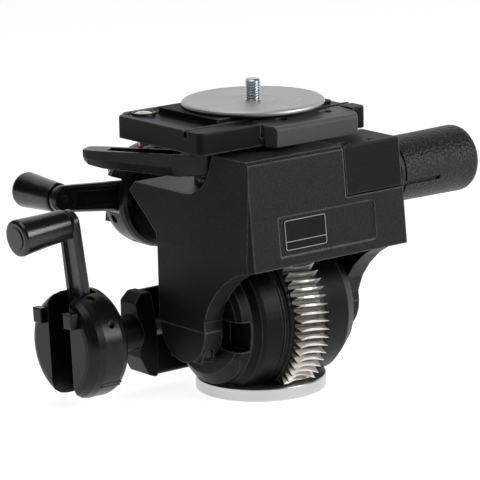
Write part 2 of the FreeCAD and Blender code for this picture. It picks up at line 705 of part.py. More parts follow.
def body_block():
    """The whole casting before it is hollowed, its front left corner taken off."""
    block = prism_x(body_outline(), BODY_X0, BODY_X1)
    least = (BODY_TOP_Z - BODY_BOTTOM_Z) / 2.0
    corner = edges_where(block, lambda e: e.CenterOfMass.x < BODY_X0 + PAST
                         and e.CenterOfMass.y < FRONT_TOP_Y + PAST and e.Length > least)
    return block.makeChamfer(CORNER_CHAMFER, corner)


def body_hollow():
    """Room for the drum and its gear, open at the front and the back."""
    x0, x1, z = BODY_X0 + CHEEK_T, BODY_X1 - CHEEK_T, TILT_AXIS_Z
    rear = REAR_Y + REACH
    return [cyl_x(CAVITY_R, x0, x1, 0, z),
            box(x0, x1, CAVITY_FRONT_Y, rear, z - PAST, z + CAVITY_H),
            box(x0 + HOLLOW_INSET, x1 - HOLLOW_INSET, FRONT_BOTTOM_Y + FRONT_WALL, HOLLOW_REAR_Y,
                z + HOLLOW_FOOT, BODY_TOP_Z - ROOF_T),
            box(x0, x1, FRONT_BOTTOM_Y - REACH, rear, z - PAST, z + MOUTH_H)]


def tilt_worm_bores():
    """Room for the tilt worm, with a bearing at each end of it."""
    room_r = TILT_WORM_PITCH_R + ADDENDUM + TILT_WORM_ROOM
    y, z = TILT_ROOM_HALF, TILT_WORM_Z
    return [cyl_y(room_r, -y, y, 0, z),
            cyl_y(CRANK_SHAFT_R + RUN_FIT, y - PAST, TILT_CRANK_Y, 0, z),
            cyl_y(TILT_PILOT_R + RUN_FIT, -TILT_PILOT_END - SEAM, PAST - y, 0, z)]


def tilt_snout():
    """Stepped nose at the back, round the tilt crank's shaft."""
    end = TILT_CRANK_Y - SNOUT_GAP
    step = end - SNOUT_TIP_L
    thick = cyl_y(SNOUT_R, REAR_Y - SNOUT_ROOT, step, 0, TILT_WORM_Z)
    return thick.fuse(cyl_y(SNOUT_TIP_R, step, end, 0, TILT_WORM_Z))


def tilt_body():
    wall = box(-WORM_WALL_HALF, WORM_WALL_HALF, HOLLOW_REAR_Y, REAR_Y - 6.0,
               TILT_AXIS_Z + WORM_WALL_LOW, LEDGE_Z - 2.0)
    wall = wall.cut(cyl_x(CAVITY_R, -REACH, REACH, 0, TILT_AXIS_Z))
    notch = box(GRIP_BLOCK_X0, BODY_X1 + REACH, FRONT_BOTTOM_Y - REACH, GRIP_BLOCK_Y1,
                GRIP_BLOCK_Z0, BODY_TOP_Z + PAST)
    shape = body_block().cut(body_hollow()).fuse([wall, tilt_snout()])
    return clean(shape.cut(tilt_worm_bores() + [journal_bore(), notch, label_recess(), side_wedge()]))


def bearing_cap(x0, x1):
    """Lower half of a cheek bearing, screwed up under the split."""
    z = TILT_AXIS_Z
    foot_half = BOSS_R - CAP_EAR_SLOPE
    round_part = prism_x(arc_points(0, z, BOSS_R, 180, 360, CAP_ARC_STEPS), x0, x1)
    ear = prism_x([(-BOSS_R, z), (-foot_half, z - CAP_EAR), (foot_half, z - CAP_EAR), (BOSS_R, z)],
                  x0 + CAP_INSET, x1 - CAP_INSET)
    holes = [screw_hole(CAP_SCREW, (x0 + x1) / 2.0, y, z + PAST, z - CAP_SCREW_SEAT, z - BOSS_R - REACH)
             for y in CAP_SCREW_Y]
    return clean(round_part.fuse(ear).cut(journal_bore()).cut(holes))


def cap_screws():
    """Socket screws that hold the two bearing caps, one pair a side."""
    seat = TILT_AXIS_Z - CAP_SCREW_SEAT
    foot = TILT_AXIS_Z - SEAM
    return [socket_screw(CAP_SCREW, x, y, foot, seat, seat - CAP_SCREW_HEAD, SOCKET_DEPTH)
            for x in (BODY_X0 + CHEEK_T / 2.0, BODY_X1 - CHEEK_T / 2.0) for y in CAP_SCREW_Y]


def axle(cheek_x, drum_x, inward):
    """Stub axle: pressed in the drum's end, the cheek turns on its outer part."""
    inner = drum_x + inward * AXLE_DEPTH
    journal = cyl_x(JOURNAL_R, cheek_x + inward * (CHEEK_WALL + SEAT), inner, 0, TILT_AXIS_Z)
    return clean(journal.fuse(cyl_x(AXLE_R, drum_x + inward * AXLE_SINK, inner, 0, TILT_AXIS_Z)))


def tilt_worm():
    """Worm, pilot and shaft in one piece, along Y over the gear."""
    thread = to_tilt(worm_in_mesh(TILT_TEETH, TILT_WORM_PITCH_R, TILT_WORM_TURNS))
    end = worm_half(TILT_WORM_TURNS) - THREAD_SINK
    shaft = cyl_y(CRANK_SHAFT_R, end, TILT_CRANK_Y + CRANK_BORE, 0, TILT_WORM_Z)
    return thread.fuse([shaft, cyl_y(TILT_PILOT_R, -TILT_PILOT_END, -end, 0, TILT_WORM_Z)])


# ================================================================ side grip and its block
def grip_block():
    """Block let into the body's upper right corner; its top carries two screws."""
    low, high = GRIP_BLOCK_Z0 + SEAM, BODY_TOP_Z - SEAM
    back = GRIP_BLOCK_Y1 - SEAM
    outline = [(front_y(low), low), (front_y(BODY_TOP_Z), high), (back, high), (back, low)]
    block = prism_x(outline, GRIP_BLOCK_X0 + SEAM + SEAT, BODY_X1 - SEAM)
    block = rounded(block, 1.2, lambda e: is_along(e, V(1, 0, 0)) and e.CenterOfMass.y < GRIP_Y)
    holes = [screw_hole(BLOCK_SCREW, x, BLOCK_SCREW_Y, GRIP_BLOCK_Z0, BODY_TOP_Z - BLOCK_SCREW_SEAT,
                        BODY_TOP_Z + PAST) for x in BLOCK_SCREW_X]
    return clean(block.cut(holes))


def grip_screws():
    seat, top = BODY_TOP_Z - BLOCK_SCREW_SEAT, BODY_TOP_Z - BLOCK_SCREW_TOP
    return [socket_screw(BLOCK_SCREW, x, BLOCK_SCREW_Y, GRIP_BLOCK_Z0 + 2.0 * SEAT, seat, top, SOCKET_DEPTH)
            for x in BLOCK_SCREW_X]


def side_grip():
    """Rubber sleeve with a rounded end and a lengthwise slot."""
    x0 = BODY_X1 + FLANGE_T
    x1 = x0 + SIDE_GRIP_L
    r, bend = SIDE_GRIP_R, SIDE_GRIP_ROUND
    curve = [(x1 - bend + bend * math.sin(math.radians(a)), r - bend + bend * math.cos(math.radians(a)))
             for a in range(0, 91, 18)]
    outline = [(x0, 0), (x0, r - 2.0 * SEAT)] + curve + [(x1, 0)]
    sleeve = revolve(outline, V(0, GRIP_Y, GRIP_Z), V(1, 0, 0), V(0, 0, 1))
    slot_z = GRIP_Z - GRIP_SLOT_LOW
    slot = box(x0 - PAST, x0 + GRIP_SLOT_L, GRIP_Y - r - PAST, GRIP_Y - r + GRIP_SLOT_DEPTH,
               slot_z, slot_z + GRIP_SLOT_W)
    core = cyl_x(SPIGOT_R, x0 - PAST, x0 + SPIGOT_L + SEAM, GRIP_Y, GRIP_Z)
    return clean(sleeve.cut([slot, core]))


def grip_core():
    """Steel spigot that carries the sleeve, flanged against the body's side."""
    x0 = BODY_X1 + FLANGE_T
    spigot = cyl_x(SPIGOT_R, x0 - SPINDLE_SINK, x0 + SPIGOT_L, GRIP_Y, GRIP_Z)
    return clean(spigot.fuse(cyl_x(SIDE_GRIP_R - FLANGE_INSET, BODY_X1 + TOUCH, x0, GRIP_Y, GRIP_Z)))


# ================================================================ platform
def platform_neck():
    """Round neck from the body's ledge up to the platform, cut away over the scoop."""
    top, r = BODY_TOP_Z, TURNTABLE_R
    outline = [(LEDGE_Z, 0), (LEDGE_Z, NECK_R), (top - 6.0, NECK_R), (top - 3.0, r - 2.0),
               (top - SEAM, r), (PLAT_Z0, r), (PLAT_Z0, 0)]
    neck = revolve(outline, V(NECK_X, NECK_Y, 0), V(0, 0, 1), V(1, 0, 0))
    half = NECK_R + REACH + REACH
    front, low = FRONT_BOTTOM_Y, LEDGE_Z - REACH
    in_front = prism_x([(front, low), (front, PLAT_Z0 + PAST), (SCOOP_TOP_Y, PLAT_Z0 + PAST)] + scoop()
                       + [(SCOOP_FOOT_Y, low)], -half, half)
    lip = box(-half, half, front - PAST, TURNTABLE_LIP_Y, BODY_TOP_Z, PLAT_Z0 + PAST + PAST)
    return clean(neck.cut(in_front.cut(lip)))


def jaw_slot(x):
    """Slot through the platform that lets a jaw screw travel with the jaw."""
    return box(x - JAW_SLOT_HALF, x + JAW_SLOT_HALF, JAW_SCREW_Y - JAW_TRAVEL - JAW_SLOT_END,
               JAW_SCREW_Y + JAW_SLOT_END, PLAT_Z0 - PAST, PLAT_Z1)


def platform():
    """Cast slab with a rail step, the plate's channel, a raised rim and a cut corner."""
    under, over = PLAT_Z0 - PAST, PLAT_Z1 + PAST
    right, back = PLAT_X1 + PAST, PLAT_Y1 + PAST
    slab = box(PLAT_X0, PLAT_X1, PLAT_Y0, PLAT_Y1, PLAT_Z0, PLAT_Z1)
    slab = rounded(slab, PLAT_CORNER_R, lambda e: is_along(e, V(0, 0, 1)))
    slab = rounded(slab, PLAT_EDGE, lambda e: e.CenterOfMass.z > PLAT_Z1 - 0.1)
    corner = prism_z([(PLAT_X0 - PAST, back), (PLAT_X0 + CUT_CORNER_X, back),
                      (PLAT_X0 - PAST, PLAT_Y1 - CUT_CORNER_Y)], under, over)
    groove = box(PLAT_X0 - PAST, right, RAIL_Y, RAIL_Y + RAIL_GROOVE_W, PLAT_Z1 - RAIL_GROOVE_DEPTH, over)
    rail_step = box(JAW_X0 - JAW_ROOM_X0, JAW_X1 + JAW_ROOM_X1, PLAT_Y0 - PAST, RAIL_Y, RAIL_Z, over)
    channel_y0, channel_y1 = PLATE_Y0 - SEAT, PLATE_Y1 + SEAT
    channel = box(PLAT_X0 + CHANNEL_END, right, channel_y0, channel_y1, PLAT_Z1 - CHANNEL_DEPTH, over)
    rim = box(PLAT_X0 + RIM_W, right, channel_y0, PLAT_Y1 - RIM_W, PLAT_Z1 - RIM_DEPTH, over)
    level = cyl_z(LEVEL_R + TOUCH, PLAT_Z1 - LEVEL_DEPTH, over, LEVEL_X, LEVEL_Y)
    pin = cyl_z(LEVER_PIN_R, under, PLAT_Z0 + LEVER_PIN_IN, *LEVER_PIVOT)
    safety = cyl_z(SAFETY_R + RUN_FIT, under, PLAT_Z0 + SAFETY_BORE, SAFETY_X, SAFETY_Y)
    slots = [jaw_slot(x) for x in JAW_SCREW_X]
    return clean(slab.cut([corner, groove, rail_step, channel, rim, level, pin, safety] + slots))


def jaw_end(x, outward):
    """Corner cut off the jaw's front at one end."""
    front = JAW_FRONT_Y - 2.0
    return prism_z([(x + outward * PAST, front), (x - outward * JAW_END_X, front),
                    (x + outward * PAST, JAW_FRONT_Y + JAW_END_Y)], JAW_FOOT_Z - PAST, PLAT_Z1 + PAST)


def clamp_jaw():
    """Jaw that overhangs the platform's front and bears on the rail."""
    rail_y, rail_z, inner_y = RAIL_Y - TOUCH, RAIL_Z + TOUCH, PLAT_Y0 - 0.1
    front, foot, top = JAW_FRONT_Y, JAW_FOOT_Z, PLAT_Z1
    outline = [(front, foot), (front - 0.3, top - 3.8), (front + 1.7, top - 1.8), (rail_y, top - 0.4),
               (rail_y, rail_z), (inner_y, rail_z), (inner_y, foot)]
    jaw = prism_x(outline, JAW_X0, JAW_X1)
    jaw = rounded(jaw, 1.0, lambda e: is_along(e, V(1, 0, 0)) and e.CenterOfMass.y < JAW_FRONT_Y + PAST)
    holes = [screw_hole(JAW_SCREW, x, JAW_SCREW_Y, JAW_FOOT_Z, RAIL_Z + JAW_SCREW_SEAT, PLAT_Z1 + PAST)
             for x in JAW_SCREW_X]
    return clean(jaw.cut([jaw_end(JAW_X0, -1), jaw_end(JAW_X1, 1)] + holes))


def jaw_screws():
    foot, seat = PLAT_Z0 + 0.4, RAIL_Z + JAW_SCREW_SEAT
    top = seat + JAW_SCREW_HEAD
    return [socket_screw(JAW_SCREW, x, JAW_SCREW_Y, foot, seat, top, JAW_SOCKET_DEPTH) for x in JAW_SCREW_X]


def bubble_ring():
    ring = cyl_z(LEVEL_R, PLAT_Z1 - LEVEL_DEPTH + 0.1, PLAT_Z1 + LEVEL_RISE, LEVEL_X, LEVEL_Y)
    return ring.cut(cyl_z(LEVEL_R - LEVEL_WALL, PLAT_Z1 - VIAL_DEPTH, PLAT_Z1 + PAST, LEVEL_X, LEVEL_Y))


def bubble_vial():
    r = LEVEL_R - LEVEL_WALL - TOUCH
    foot, top = PLAT_Z1 - VIAL_DEPTH, PLAT_Z1
    outline = [(foot, 0), (foot, r), (top - 0.1, r), (top + LEVEL_RISE, r * 0.6), (top + VIAL_DOME, 0)]
    return revolve(outline, V(LEVEL_X, LEVEL_Y, 0), V(0, 0, 1), V(1, 0, 0))


def lever_section(x, half, deep):
    """Cross-section of the lever: flat on top, rounded below."""
    z = LEVER_TOP_Z
    side, turn = half * 0.98, half * 0.62
    pts = [V(x, -half, z), V(x, half, z), V(x, side, z - deep * 0.5), V(x, turn, z - deep * 0.9),
           V(x, 0, z - deep), V(x, -turn, z - deep * 0.9), V(x, -side, z - deep * 0.5)]
    return Part.makePolygon(pts + pts[:1])


def dish_section(x, half, deep):
    z = LEVER_TOP_Z
    pts = [V(x, -half, z + PAST), V(x, half, z + PAST), V(x, half, z - deep), V(x, -half, z - deep)]
    return Part.makePolygon(pts + pts[:1])


def lever_shape():
    """Quick release lever: a long hull with a dished top, before it is swung home."""
    h, end = LEVER_H, LEVER_L
    along = [(-7.0, 4.5, h - 4.0), (-3.0, 7.0, h), (18.0, 8.5, h + 1.5), (44.0, 7.5, h),
             (end - 12.0, 7.2, h - 1.0), (end - 3.0, 6.4, h - 3.0), (end, 4.8, h - 5.5)]
    dish = [(14.0, 4.5, 0.6), (28.0, 6.0, 2.0), (end - 15.0, 4.2, 1.8)]
    hull = Part.makeLoft([lever_section(*s) for s in along], True, True)
    return hull.cut(Part.makeLoft([dish_section(*s) for s in dish], True, True))


def lever():
    shape = lever_shape().fuse(cyl_z(LEVER_HUB_R, LEVER_TOP_Z - LEVER_HUB_R, PLAT_Z0 - SEAT))
    shape = shape.cut(cyl_z(LEVER_PIN_R + RUN_FIT, LEVER_TOP_Z - LEVER_H - REACH, PLAT_Z1))
    shape.rotate(V(0, 0, 0), V(0, 0, 1), LEVER_ANGLE)
    shape.translate(V(LEVER_PIVOT[0], LEVER_PIVOT[1], 0))
    return clean(shape)


def lever_pin():
    foot = LEVER_TOP_Z - LEVER_H - PIN_HEAD_GAP
    pin = cyl_z(LEVER_PIN_R, foot, PLAT_Z0 + LEVER_PIN_IN, *LEVER_PIVOT)
    return clean(pin.fuse(cyl_z(LEVER_PIN_R + PIN_HEAD_W, foot - PIN_HEAD_T, foot, *LEVER_PIVOT)))


def safety_pin():
    foot = LEVER_TOP_Z + SAFETY_LIFT
    pin = cyl_z(SAFETY_R, foot, PLAT_Z0 + SAFETY_IN, SAFETY_X, SAFETY_Y)
    return pin.fuse(cyl_z(SAFETY_HEAD_R, foot, foot + SAFETY_HEAD_T, SAFETY_X, SAFETY_Y))


# ================================================================ camera plate
def camera_plate():
    plate = box(PLATE_X0, PLATE_X1, PLATE_Y0, PLATE_Y1, PLAT_Z1 - CHANNEL_DEPTH + PLATE_UNDER, DISC_Z)
    plate = rounded(plate, PLATE_CORNER_R, lambda e: is_along(e, V(0, 0, 1)))
    return plate.cut(cyl_z(STUD_R + STUD_HOLE, PLAT_Z0, DISC_Z + PAST, DISC_X, 0))


def camera_disc():
    """Cushioned disc under the camera, with a hollow round the stud."""
    z, r, hole = DISC_Z, DISC_R, STUD_R + STUD_HOLE
    top, dish = DISC_Z + DISC_T, DISC_Z + DISC_T - DISC_DISH_DEPTH
    edge = [(z, r - 1.6), (z + 0.6, r - 0.5), (z + 1.6, r), (z + 2.6, r - 0.4), (top, r - 1.6)]
    outline = [(z, hole)] + edge + [(top, DISC_DISH_R), (dish, DISC_DISH_R - 2.0), (dish, hole)]
    return revolve(outline, V(DISC_X, 0, 0), V(0, 0, 1), V(1, 0, 0))


def camera_stud():
    """Camera screw: the part above the disc is threaded, the part below is a plain collar."""
    foot, face, top = PLAT_Z1 - STUD_SINK, DISC_Z + DISC_T - DISC_DISH_DEPTH, DISC_Z + DISC_T + STUD_L
    point = 0.9
    outline = [(foot, 0), (foot, STUD_R + STUD_COLLAR), (face, STUD_R + STUD_COLLAR), (face, STUD_R),
               (top - point, STUD_R), (top, STUD_R - point), (top, 0)]
    return revolve(outline, V(DISC_X, 0, 0), V(0, 0, 1), V(1, 0, 0))


# ================================================================ cranks
# A crank is built along +X: inner face at x = 0, open face at x = CRANK_T,
# arm up along +Z, grip pointing along +X.
def crank_disc():
    """Thick round crank with a slot across it that takes the folded arm."""
    t, r = CRANK_T, CRANK_R
    outline = [(0, 0), (0, r - 5.0), (1.0, r - 2.4), (3.0, r - 0.7), (6.0, r), (t - 10.0, r),
               (t - 5.5, r - 0.8), (t - 2.0, r - 2.8), (t - 0.5, r - 5.0), (t, r - 7.5), (t, 0)]
    disc = revolve(outline, V(0, 0, 0), V(1, 0, 0), V(0, 0, 1))
    slot = box(t - SLOT_DEPTH, t + PAST, -SLOT_W / 2.0, SLOT_W / 2.0, -r - PAST, r + PAST)
    pin_hole = cyl_y(FOLD_PIN_R, -r, r, FOLD_X, FOLD_R)
    bore = cyl_x(CRANK_SHAFT_R, -PAST, CRANK_BORE, 0, 0)
    screw_room = cyl_z(SET_SCREW_R + SEAT, SET_SCREW_IN, r + PAST, SET_SCREW_X, 0)
    screw_room.rotate(V(0, 0, 0), V(1, 0, 0), SET_SCREW_ANGLE)
    return clean(disc.cut([slot, pin_hole, bore, screw_room]))


def crank_clips():
    """Two small blocks that snap over the folded arm."""
    t, inner = CRANK_T, SLOT_W / 2.0 + CLIP_GAP
    sides = [(-inner - CLIP_W, -inner), (inner, inner + CLIP_W)]
    blocks = [box(t + CLIP_LIFT, t + CLIP_T, y0, y1, CLIP_LOW, CLIP_HIGH) for y0, y1 in sides]
    return [rounded(b, 0.8, lambda e: e.CenterOfMass.x > t + CLIP_T - 0.1) for b in blocks]


def crank_set_screw():
    screw = cyl_z(SET_SCREW_R, SET_SCREW_IN + SEAT, CRANK_R - SET_SCREW_SINK, SET_SCREW_X, 0)
    screw.rotate(V(0, 0, 0), V(1, 0, 0), SET_SCREW_ANGLE)
    return screw


def arm_hollow(x0, x1):
    """Cutter of the shallow hollow in one face of the arm."""
    half = ARM_W / 2.0 - CHANNEL_EDGE
    return box(x0, x1, -half, half, FOLD_R + CHANNEL_LOW, FOLD_R + ARM_L - CHANNEL_HIGH)


def crank_arm():
    """Tapered arm: an eye on the fold pin, a round end at the grip, hollowed faces."""
    half, tip = ARM_W / 2.0, ARM_W / 2.0 - ARM_TAPER
    x0, x1 = FOLD_X - ARM_T / 2.0, FOLD_X + ARM_T / 2.0
    top = FOLD_R + ARM_L
    sides = [V(x0, -half, FOLD_R), V(x0, half, FOLD_R), V(x0, tip, top), V(x0, -tip, top)]
    body = Part.Face(Part.makePolygon(sides + sides[:1])).extrude(V(ARM_T, 0, 0))
    eye = cyl_y(ARM_T / 2.0 + ARM_EYE, -half, half, FOLD_X, FOLD_R)
    body = clean(body.fuse([cyl_x(tip, x0, x1, 0, top), eye]))
    body = body.makeChamfer(ARM_CHAMFER, edges_where(body, lambda e: e.CenterOfMass.z > FOLD_R + 10.0
                                                     and not is_along(e, V(1, 0, 0))))
    pin = cyl_y(FOLD_PIN_R + RUN_FIT, -half - PAST, half + PAST, FOLD_X, FOLD_R)
    spindle = cyl_x(SPINDLE_R, x0 - PAST, x1 + PAST, 0, top)
    hollows = [arm_hollow(x1 - CHANNEL_T, x1 + PAST), arm_hollow(x0 - PAST, x0 + CHANNEL_T)]
    return clean(body.cut(hollows + [pin, spindle]))


def crank_fold_pin():
    length = math.sqrt(CRANK_R ** 2 - FOLD_R ** 2) - FOLD_PIN_SHORT
    return cyl_y(FOLD_PIN_R, -length, length, FOLD_X, FOLD_R)


def crank_grip():
    """Turning grip, a little wider at its outer end, which is closed by the cap."""
    x0, r, end = FOLD_X + ARM_T / 2.0 + SEAT, GRIP_R, GRIP_L
    face = end - GRIP_LIP
    outline = [(0, 0), (0, r - 1.4), (1.0, r - 0.7), (end * 0.5, r + 0.1), (end - 2.0, r + 1.2),
               (end - 0.6, r + 0.8), (end, r - 0.6), (end, r - 3.0), (face, r - 3.0), (face, 0)]
    grip = revolve(outline, V(x0, 0, FOLD_R + ARM_L), V(1, 0, 0), V(0, 0, 1))
    return grip.cut(cyl_x(SPINDLE_R + RUN_FIT, x0 - PAST, x0 + end - 4.0, 0, FOLD_R + ARM_L))


def crank_spindle():
    x0 = FOLD_X - ARM_T / 2.0
    return cyl_x(SPINDLE_R, x0 + SPINDLE_SINK, x0 + ARM_T + GRIP_L - 5.0, 0, FOLD_R + ARM_L)


def crank_cap():
    x0 = FOLD_X + ARM_T / 2.0 + SEAT + GRIP_L - GRIP_LIP + 0.02
    return cyl_x(GRIP_R - CAP_EDGE, x0, x0 + CAP_T, 0, FOLD_R + ARM_L)


def leaned(shape, angle):
    """An arm piece, swung outward about the fold pin."""
    shape.rotate(V(FOLD_X, 0, FOLD_R), V(0, 1, 0), angle)
    return shape


def place_pan_crank(shape):
    """Crank axis +X turned to -X, arm kept upward, at the pan shaft's end."""
    shape.rotate(V(0, 0, 0), V(1, 0, 0), PAN_CRANK_TURN)
    shape.rotate(V(0, 0, 0), V(0, 0, 1), 180)
    shape.translate(V(PAN_CRANK_X, PAN_WORM_Y, PAN_WHEEL_MID_Z))
    return shape


def place_tilt_crank(shape):
    """Crank axis to +Y, arm turned to point along -X, on the tilt worm's shaft."""
    shape.rotate(V(0, 0, 0), V(1, 0, 0), -90 + TILT_CRANK_LIFT)
    shape.rotate(V(0, 0, 0), V(0, 0, 1), 90)
    shape.translate(V(0, TILT_CRANK_Y, TILT_WORM_Z))
    return shape


def save_crank(prefix, place, lean):
    """The eight pieces of one crank, placed on its shaft."""
    save(prefix + "_crank", place(crank_disc()))
    save(prefix + "_clips", *[place(b) for b in crank_clips()])
    save(prefix + "_set_screw", place(crank_set_screw()))
    save(prefix + "_fold_pin", place(crank_fold_pin()))
    save(prefix + "_arm", place(leaned(crank_arm(), lean)))
    save(prefix + "_spindle", place(leaned(crank_spindle(), lean)))
    save(prefix + "_grip", place(leaned(crank_grip(), lean)))
    save(prefix + "_grip_cap", place(leaned(crank_cap(), lean)))


def main():
    save("base_disc", base_disc())
    save("pan_worm_wheel", pan_wheel())
    save("pan_wheel_bolt", pan_wheel_bolt())
    save("pan_housing", pan_housing())
    save("pan_worm", pan_worm())
    save("tilt_gear", tilt_gear())
    save("left_axle", axle(BODY_X0, DRUM_X0, 1))
    save("right_axle", axle(BODY_X1, DRUM_X1, -1))
    save("tilt_body", tilt_body())
    save("left_bearing_cap", bearing_cap(BODY_X0, BODY_X0 + CHEEK_T))
    save("right_bearing_cap", bearing_cap(BODY_X1 - CHEEK_T, BODY_X1))
    save("bearing_screws", *cap_screws())
    save("tilt_worm", tilt_worm())
    save("grip_block", grip_block())
    save("grip_block_screws", *grip_screws())
    save("side_grip", side_grip())
    save("grip_core", grip_core())
    save("platform_neck", platform_neck())
    save("platform", platform())
    save("clamp_jaw", clamp_jaw())
    save("jaw_screws", *jaw_screws())
    save("bubble_ring", bubble_ring())
    save("bubble_vial", bubble_vial())
    save("release_lever", lever())
    save("lever_pin", lever_pin())
    save("safety_pin", safety_pin())
    save("camera_plate", camera_plate())
    save("camera_disc", camera_disc())
    save("camera_stud", camera_stud())
    save_crank("pan", place_pan_crank, PAN_ARM_LEAN)
    save_crank("tilt", place_tilt_crank, 0.0)


main()
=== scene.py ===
"""Geared tripod head: its finishes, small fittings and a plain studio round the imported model.

Lengths are in metres, in the model's own frame: +Z up, the platform's clamp jaw towards -Y,
the pan crank towards -X. Each Operator makes one piece or one group of like pieces.
"""
import json
import math

import bmesh
import bpy
from bpy.props import FloatProperty, FloatVectorProperty, IntProperty, PointerProperty
from mathutils import Euler, Matrix, Vector


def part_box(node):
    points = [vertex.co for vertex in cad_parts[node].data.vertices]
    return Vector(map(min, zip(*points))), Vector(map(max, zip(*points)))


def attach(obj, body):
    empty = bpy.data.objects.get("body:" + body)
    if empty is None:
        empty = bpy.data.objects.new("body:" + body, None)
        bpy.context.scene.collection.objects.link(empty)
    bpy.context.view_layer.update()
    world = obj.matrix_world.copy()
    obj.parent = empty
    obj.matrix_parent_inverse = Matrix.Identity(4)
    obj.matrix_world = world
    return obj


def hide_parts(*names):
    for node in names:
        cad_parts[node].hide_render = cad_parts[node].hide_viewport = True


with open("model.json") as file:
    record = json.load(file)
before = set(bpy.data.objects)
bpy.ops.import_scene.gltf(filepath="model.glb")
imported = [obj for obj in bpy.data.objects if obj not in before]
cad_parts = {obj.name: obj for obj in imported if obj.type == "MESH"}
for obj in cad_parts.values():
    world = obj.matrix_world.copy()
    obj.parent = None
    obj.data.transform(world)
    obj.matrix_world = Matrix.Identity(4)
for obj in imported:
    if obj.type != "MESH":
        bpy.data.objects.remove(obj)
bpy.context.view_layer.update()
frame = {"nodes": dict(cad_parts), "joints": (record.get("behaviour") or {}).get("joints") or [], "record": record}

bl_info = {
    "name": "Geared tripod head",
    "version": (1, 0, 0),
    "blender": (4, 5, 0),
    "location": "View3D > Sidebar > Tripod head",
    "description": "Finishes, small fittings and a studio for a geared tripod head",
    "category": "Object",
}

MM = 0.001
WHITE = (1.0, 1.0, 1.0, 1.0)


# ---------------------------------------------------------------- places, from the frame

def joint_place(name):
    """A point on the named joint's axis."""
    return next(joint["pos_m"] for joint in frame["joints"] if joint["name"] == name)


def mount(name):
    """The record's entry for the named mount."""
    return next(entry for entry in frame["record"]["mounts"] if entry["name"] == name)


TILT_AXIS = joint_place("tilt")
PAN_CRANK = joint_place("pan_crank_turn")
TILT_CRANK = joint_place("tilt_crank_turn")
PAN_WHEEL = (0.0, 0.0, PAN_CRANK[2])
PAN_WORM = (0.0, PAN_CRANK[1], PAN_CRANK[2])
TILT_WORM = (0.0, 0.0, TILT_CRANK[2])
DISC_CENTRE = mount("camera_stud")["pos_m"]
CAMERA_FACE = mount("camera_face")["pos_m"][2]


# ---------------------------------------------------------------- sizes

# The turned discs: their tool rings, and the arcs printed round the camera's thread.
DISC_R = 42.5 * MM
BASE_RINGS = 0.30 * MM
DISC_RINGS = 0.40 * MM
ARC_R = 0.66 * DISC_R
ARC_LINE = 0.55 * MM
ARCS = ((-103.0, 58.0), (62.0, 42.0))       # middle direction and half the spread, in degrees
ARC_TONE = (0.78, 0.79, 0.80, 1.0)

# The gears: the radius up to which the roots are painted dark, a painted shade with grime, the radius from which
# the metal is clean, and half the bright width. The black of the ends starts a little inside that width.
TILT_TEETH = (46.3 * MM, 48.0 * MM, 10.5 * MM)
PAN_TEETH = (22.2 * MM, 24.0 * MM, 9.0 * MM)
TILT_THREAD = (6.2 * MM, 8.0 * MM, 80.0 * MM)
PAN_THREAD = (4.4 * MM, 6.0 * MM, 120.0 * MM)
BLACK_STARTS, BLACK_FULL = 0.25 * MM, 0.05 * MM
BLACKED_TONE = (0.014, 0.014, 0.014, 1.0)
# Dark brown that the roots are blended to: painted shade, with grime.
ROOT_SHADE_AND_GRIME_TONE = (0.060, 0.052, 0.043, 1.0)

# The spirit level: where its liquid darkens, and the bubble's (height, radius) outline.
LIQUID_RIM = (3.6 * MM, 6.6 * MM)
BUBBLE_SINK = 0.25 * MM
BUBBLE_DOME = ((0.0, 2.1 * MM), (0.28 * MM, 1.9 * MM), (0.42 * MM, 1.2 * MM), (0.46 * MM, 0.2 * MM))
BUBBLE_AROUND = 32

# The camera's thread, above a collar that stands in the disc.
STUD_R = mount("camera_stud")["dims"]["r_mm"] * MM
COLLAR_R = STUD_R + 0.5 * MM
NECK_R = STUD_R - 0.5 * MM
COLLAR_Z = CAMERA_FACE - 0.6 * MM
THREAD_Z = CAMERA_FACE - 0.4 * MM
THREAD_CHAMFER = 0.9 * MM
THREAD_ROWS = 10                            # rows of points in one turn
CREST_SHARE = 0.12                          # half the flat crest, and half the flat root

# The blank plate, sunk in the body's front, which leans back from a line at its foot.
FRONT_Y, FRONT_Z = -66.0 * MM, 89.0 * MM
FRONT_LEAN = 6.0 / 61.5                     # the depth it leans back by, for its height
LABEL_LEFT, LABEL_FOOT = -30.8 * MM, 97.9 * MM
LABEL_W, LABEL_H = 31.2 * MM, 18.1 * MM
LABEL_CORNER = 1.9 * MM
LABEL_BACK, LABEL_FACE = 0.88 * MM, 0.50 * MM
BORDER_INSET = 0.35 * MM
BORDER_LINE = 0.42 * MM
BORDER_STAND = 0.03 * MM
BAR_RISE = 5.1 * MM

# The pair of ridges on each crank's rim: (angle, rise) outline, angles in degrees.
MARK_R = 32.4 * MM
MARK_START, MARK_END = 3.5 * MM, 17.0 * MM
MARK_STEP = 4.2
MARK_RIDGE = ((-1.3, -0.3 * MM), (-0.9, 0.42 * MM), (0.9, 0.42 * MM), (1.3, -0.3 * MM))
PAN_MARK_AT, TILT_MARK_AT = -142.0, 128.0


# ---------------------------------------------------------------- shader graphs

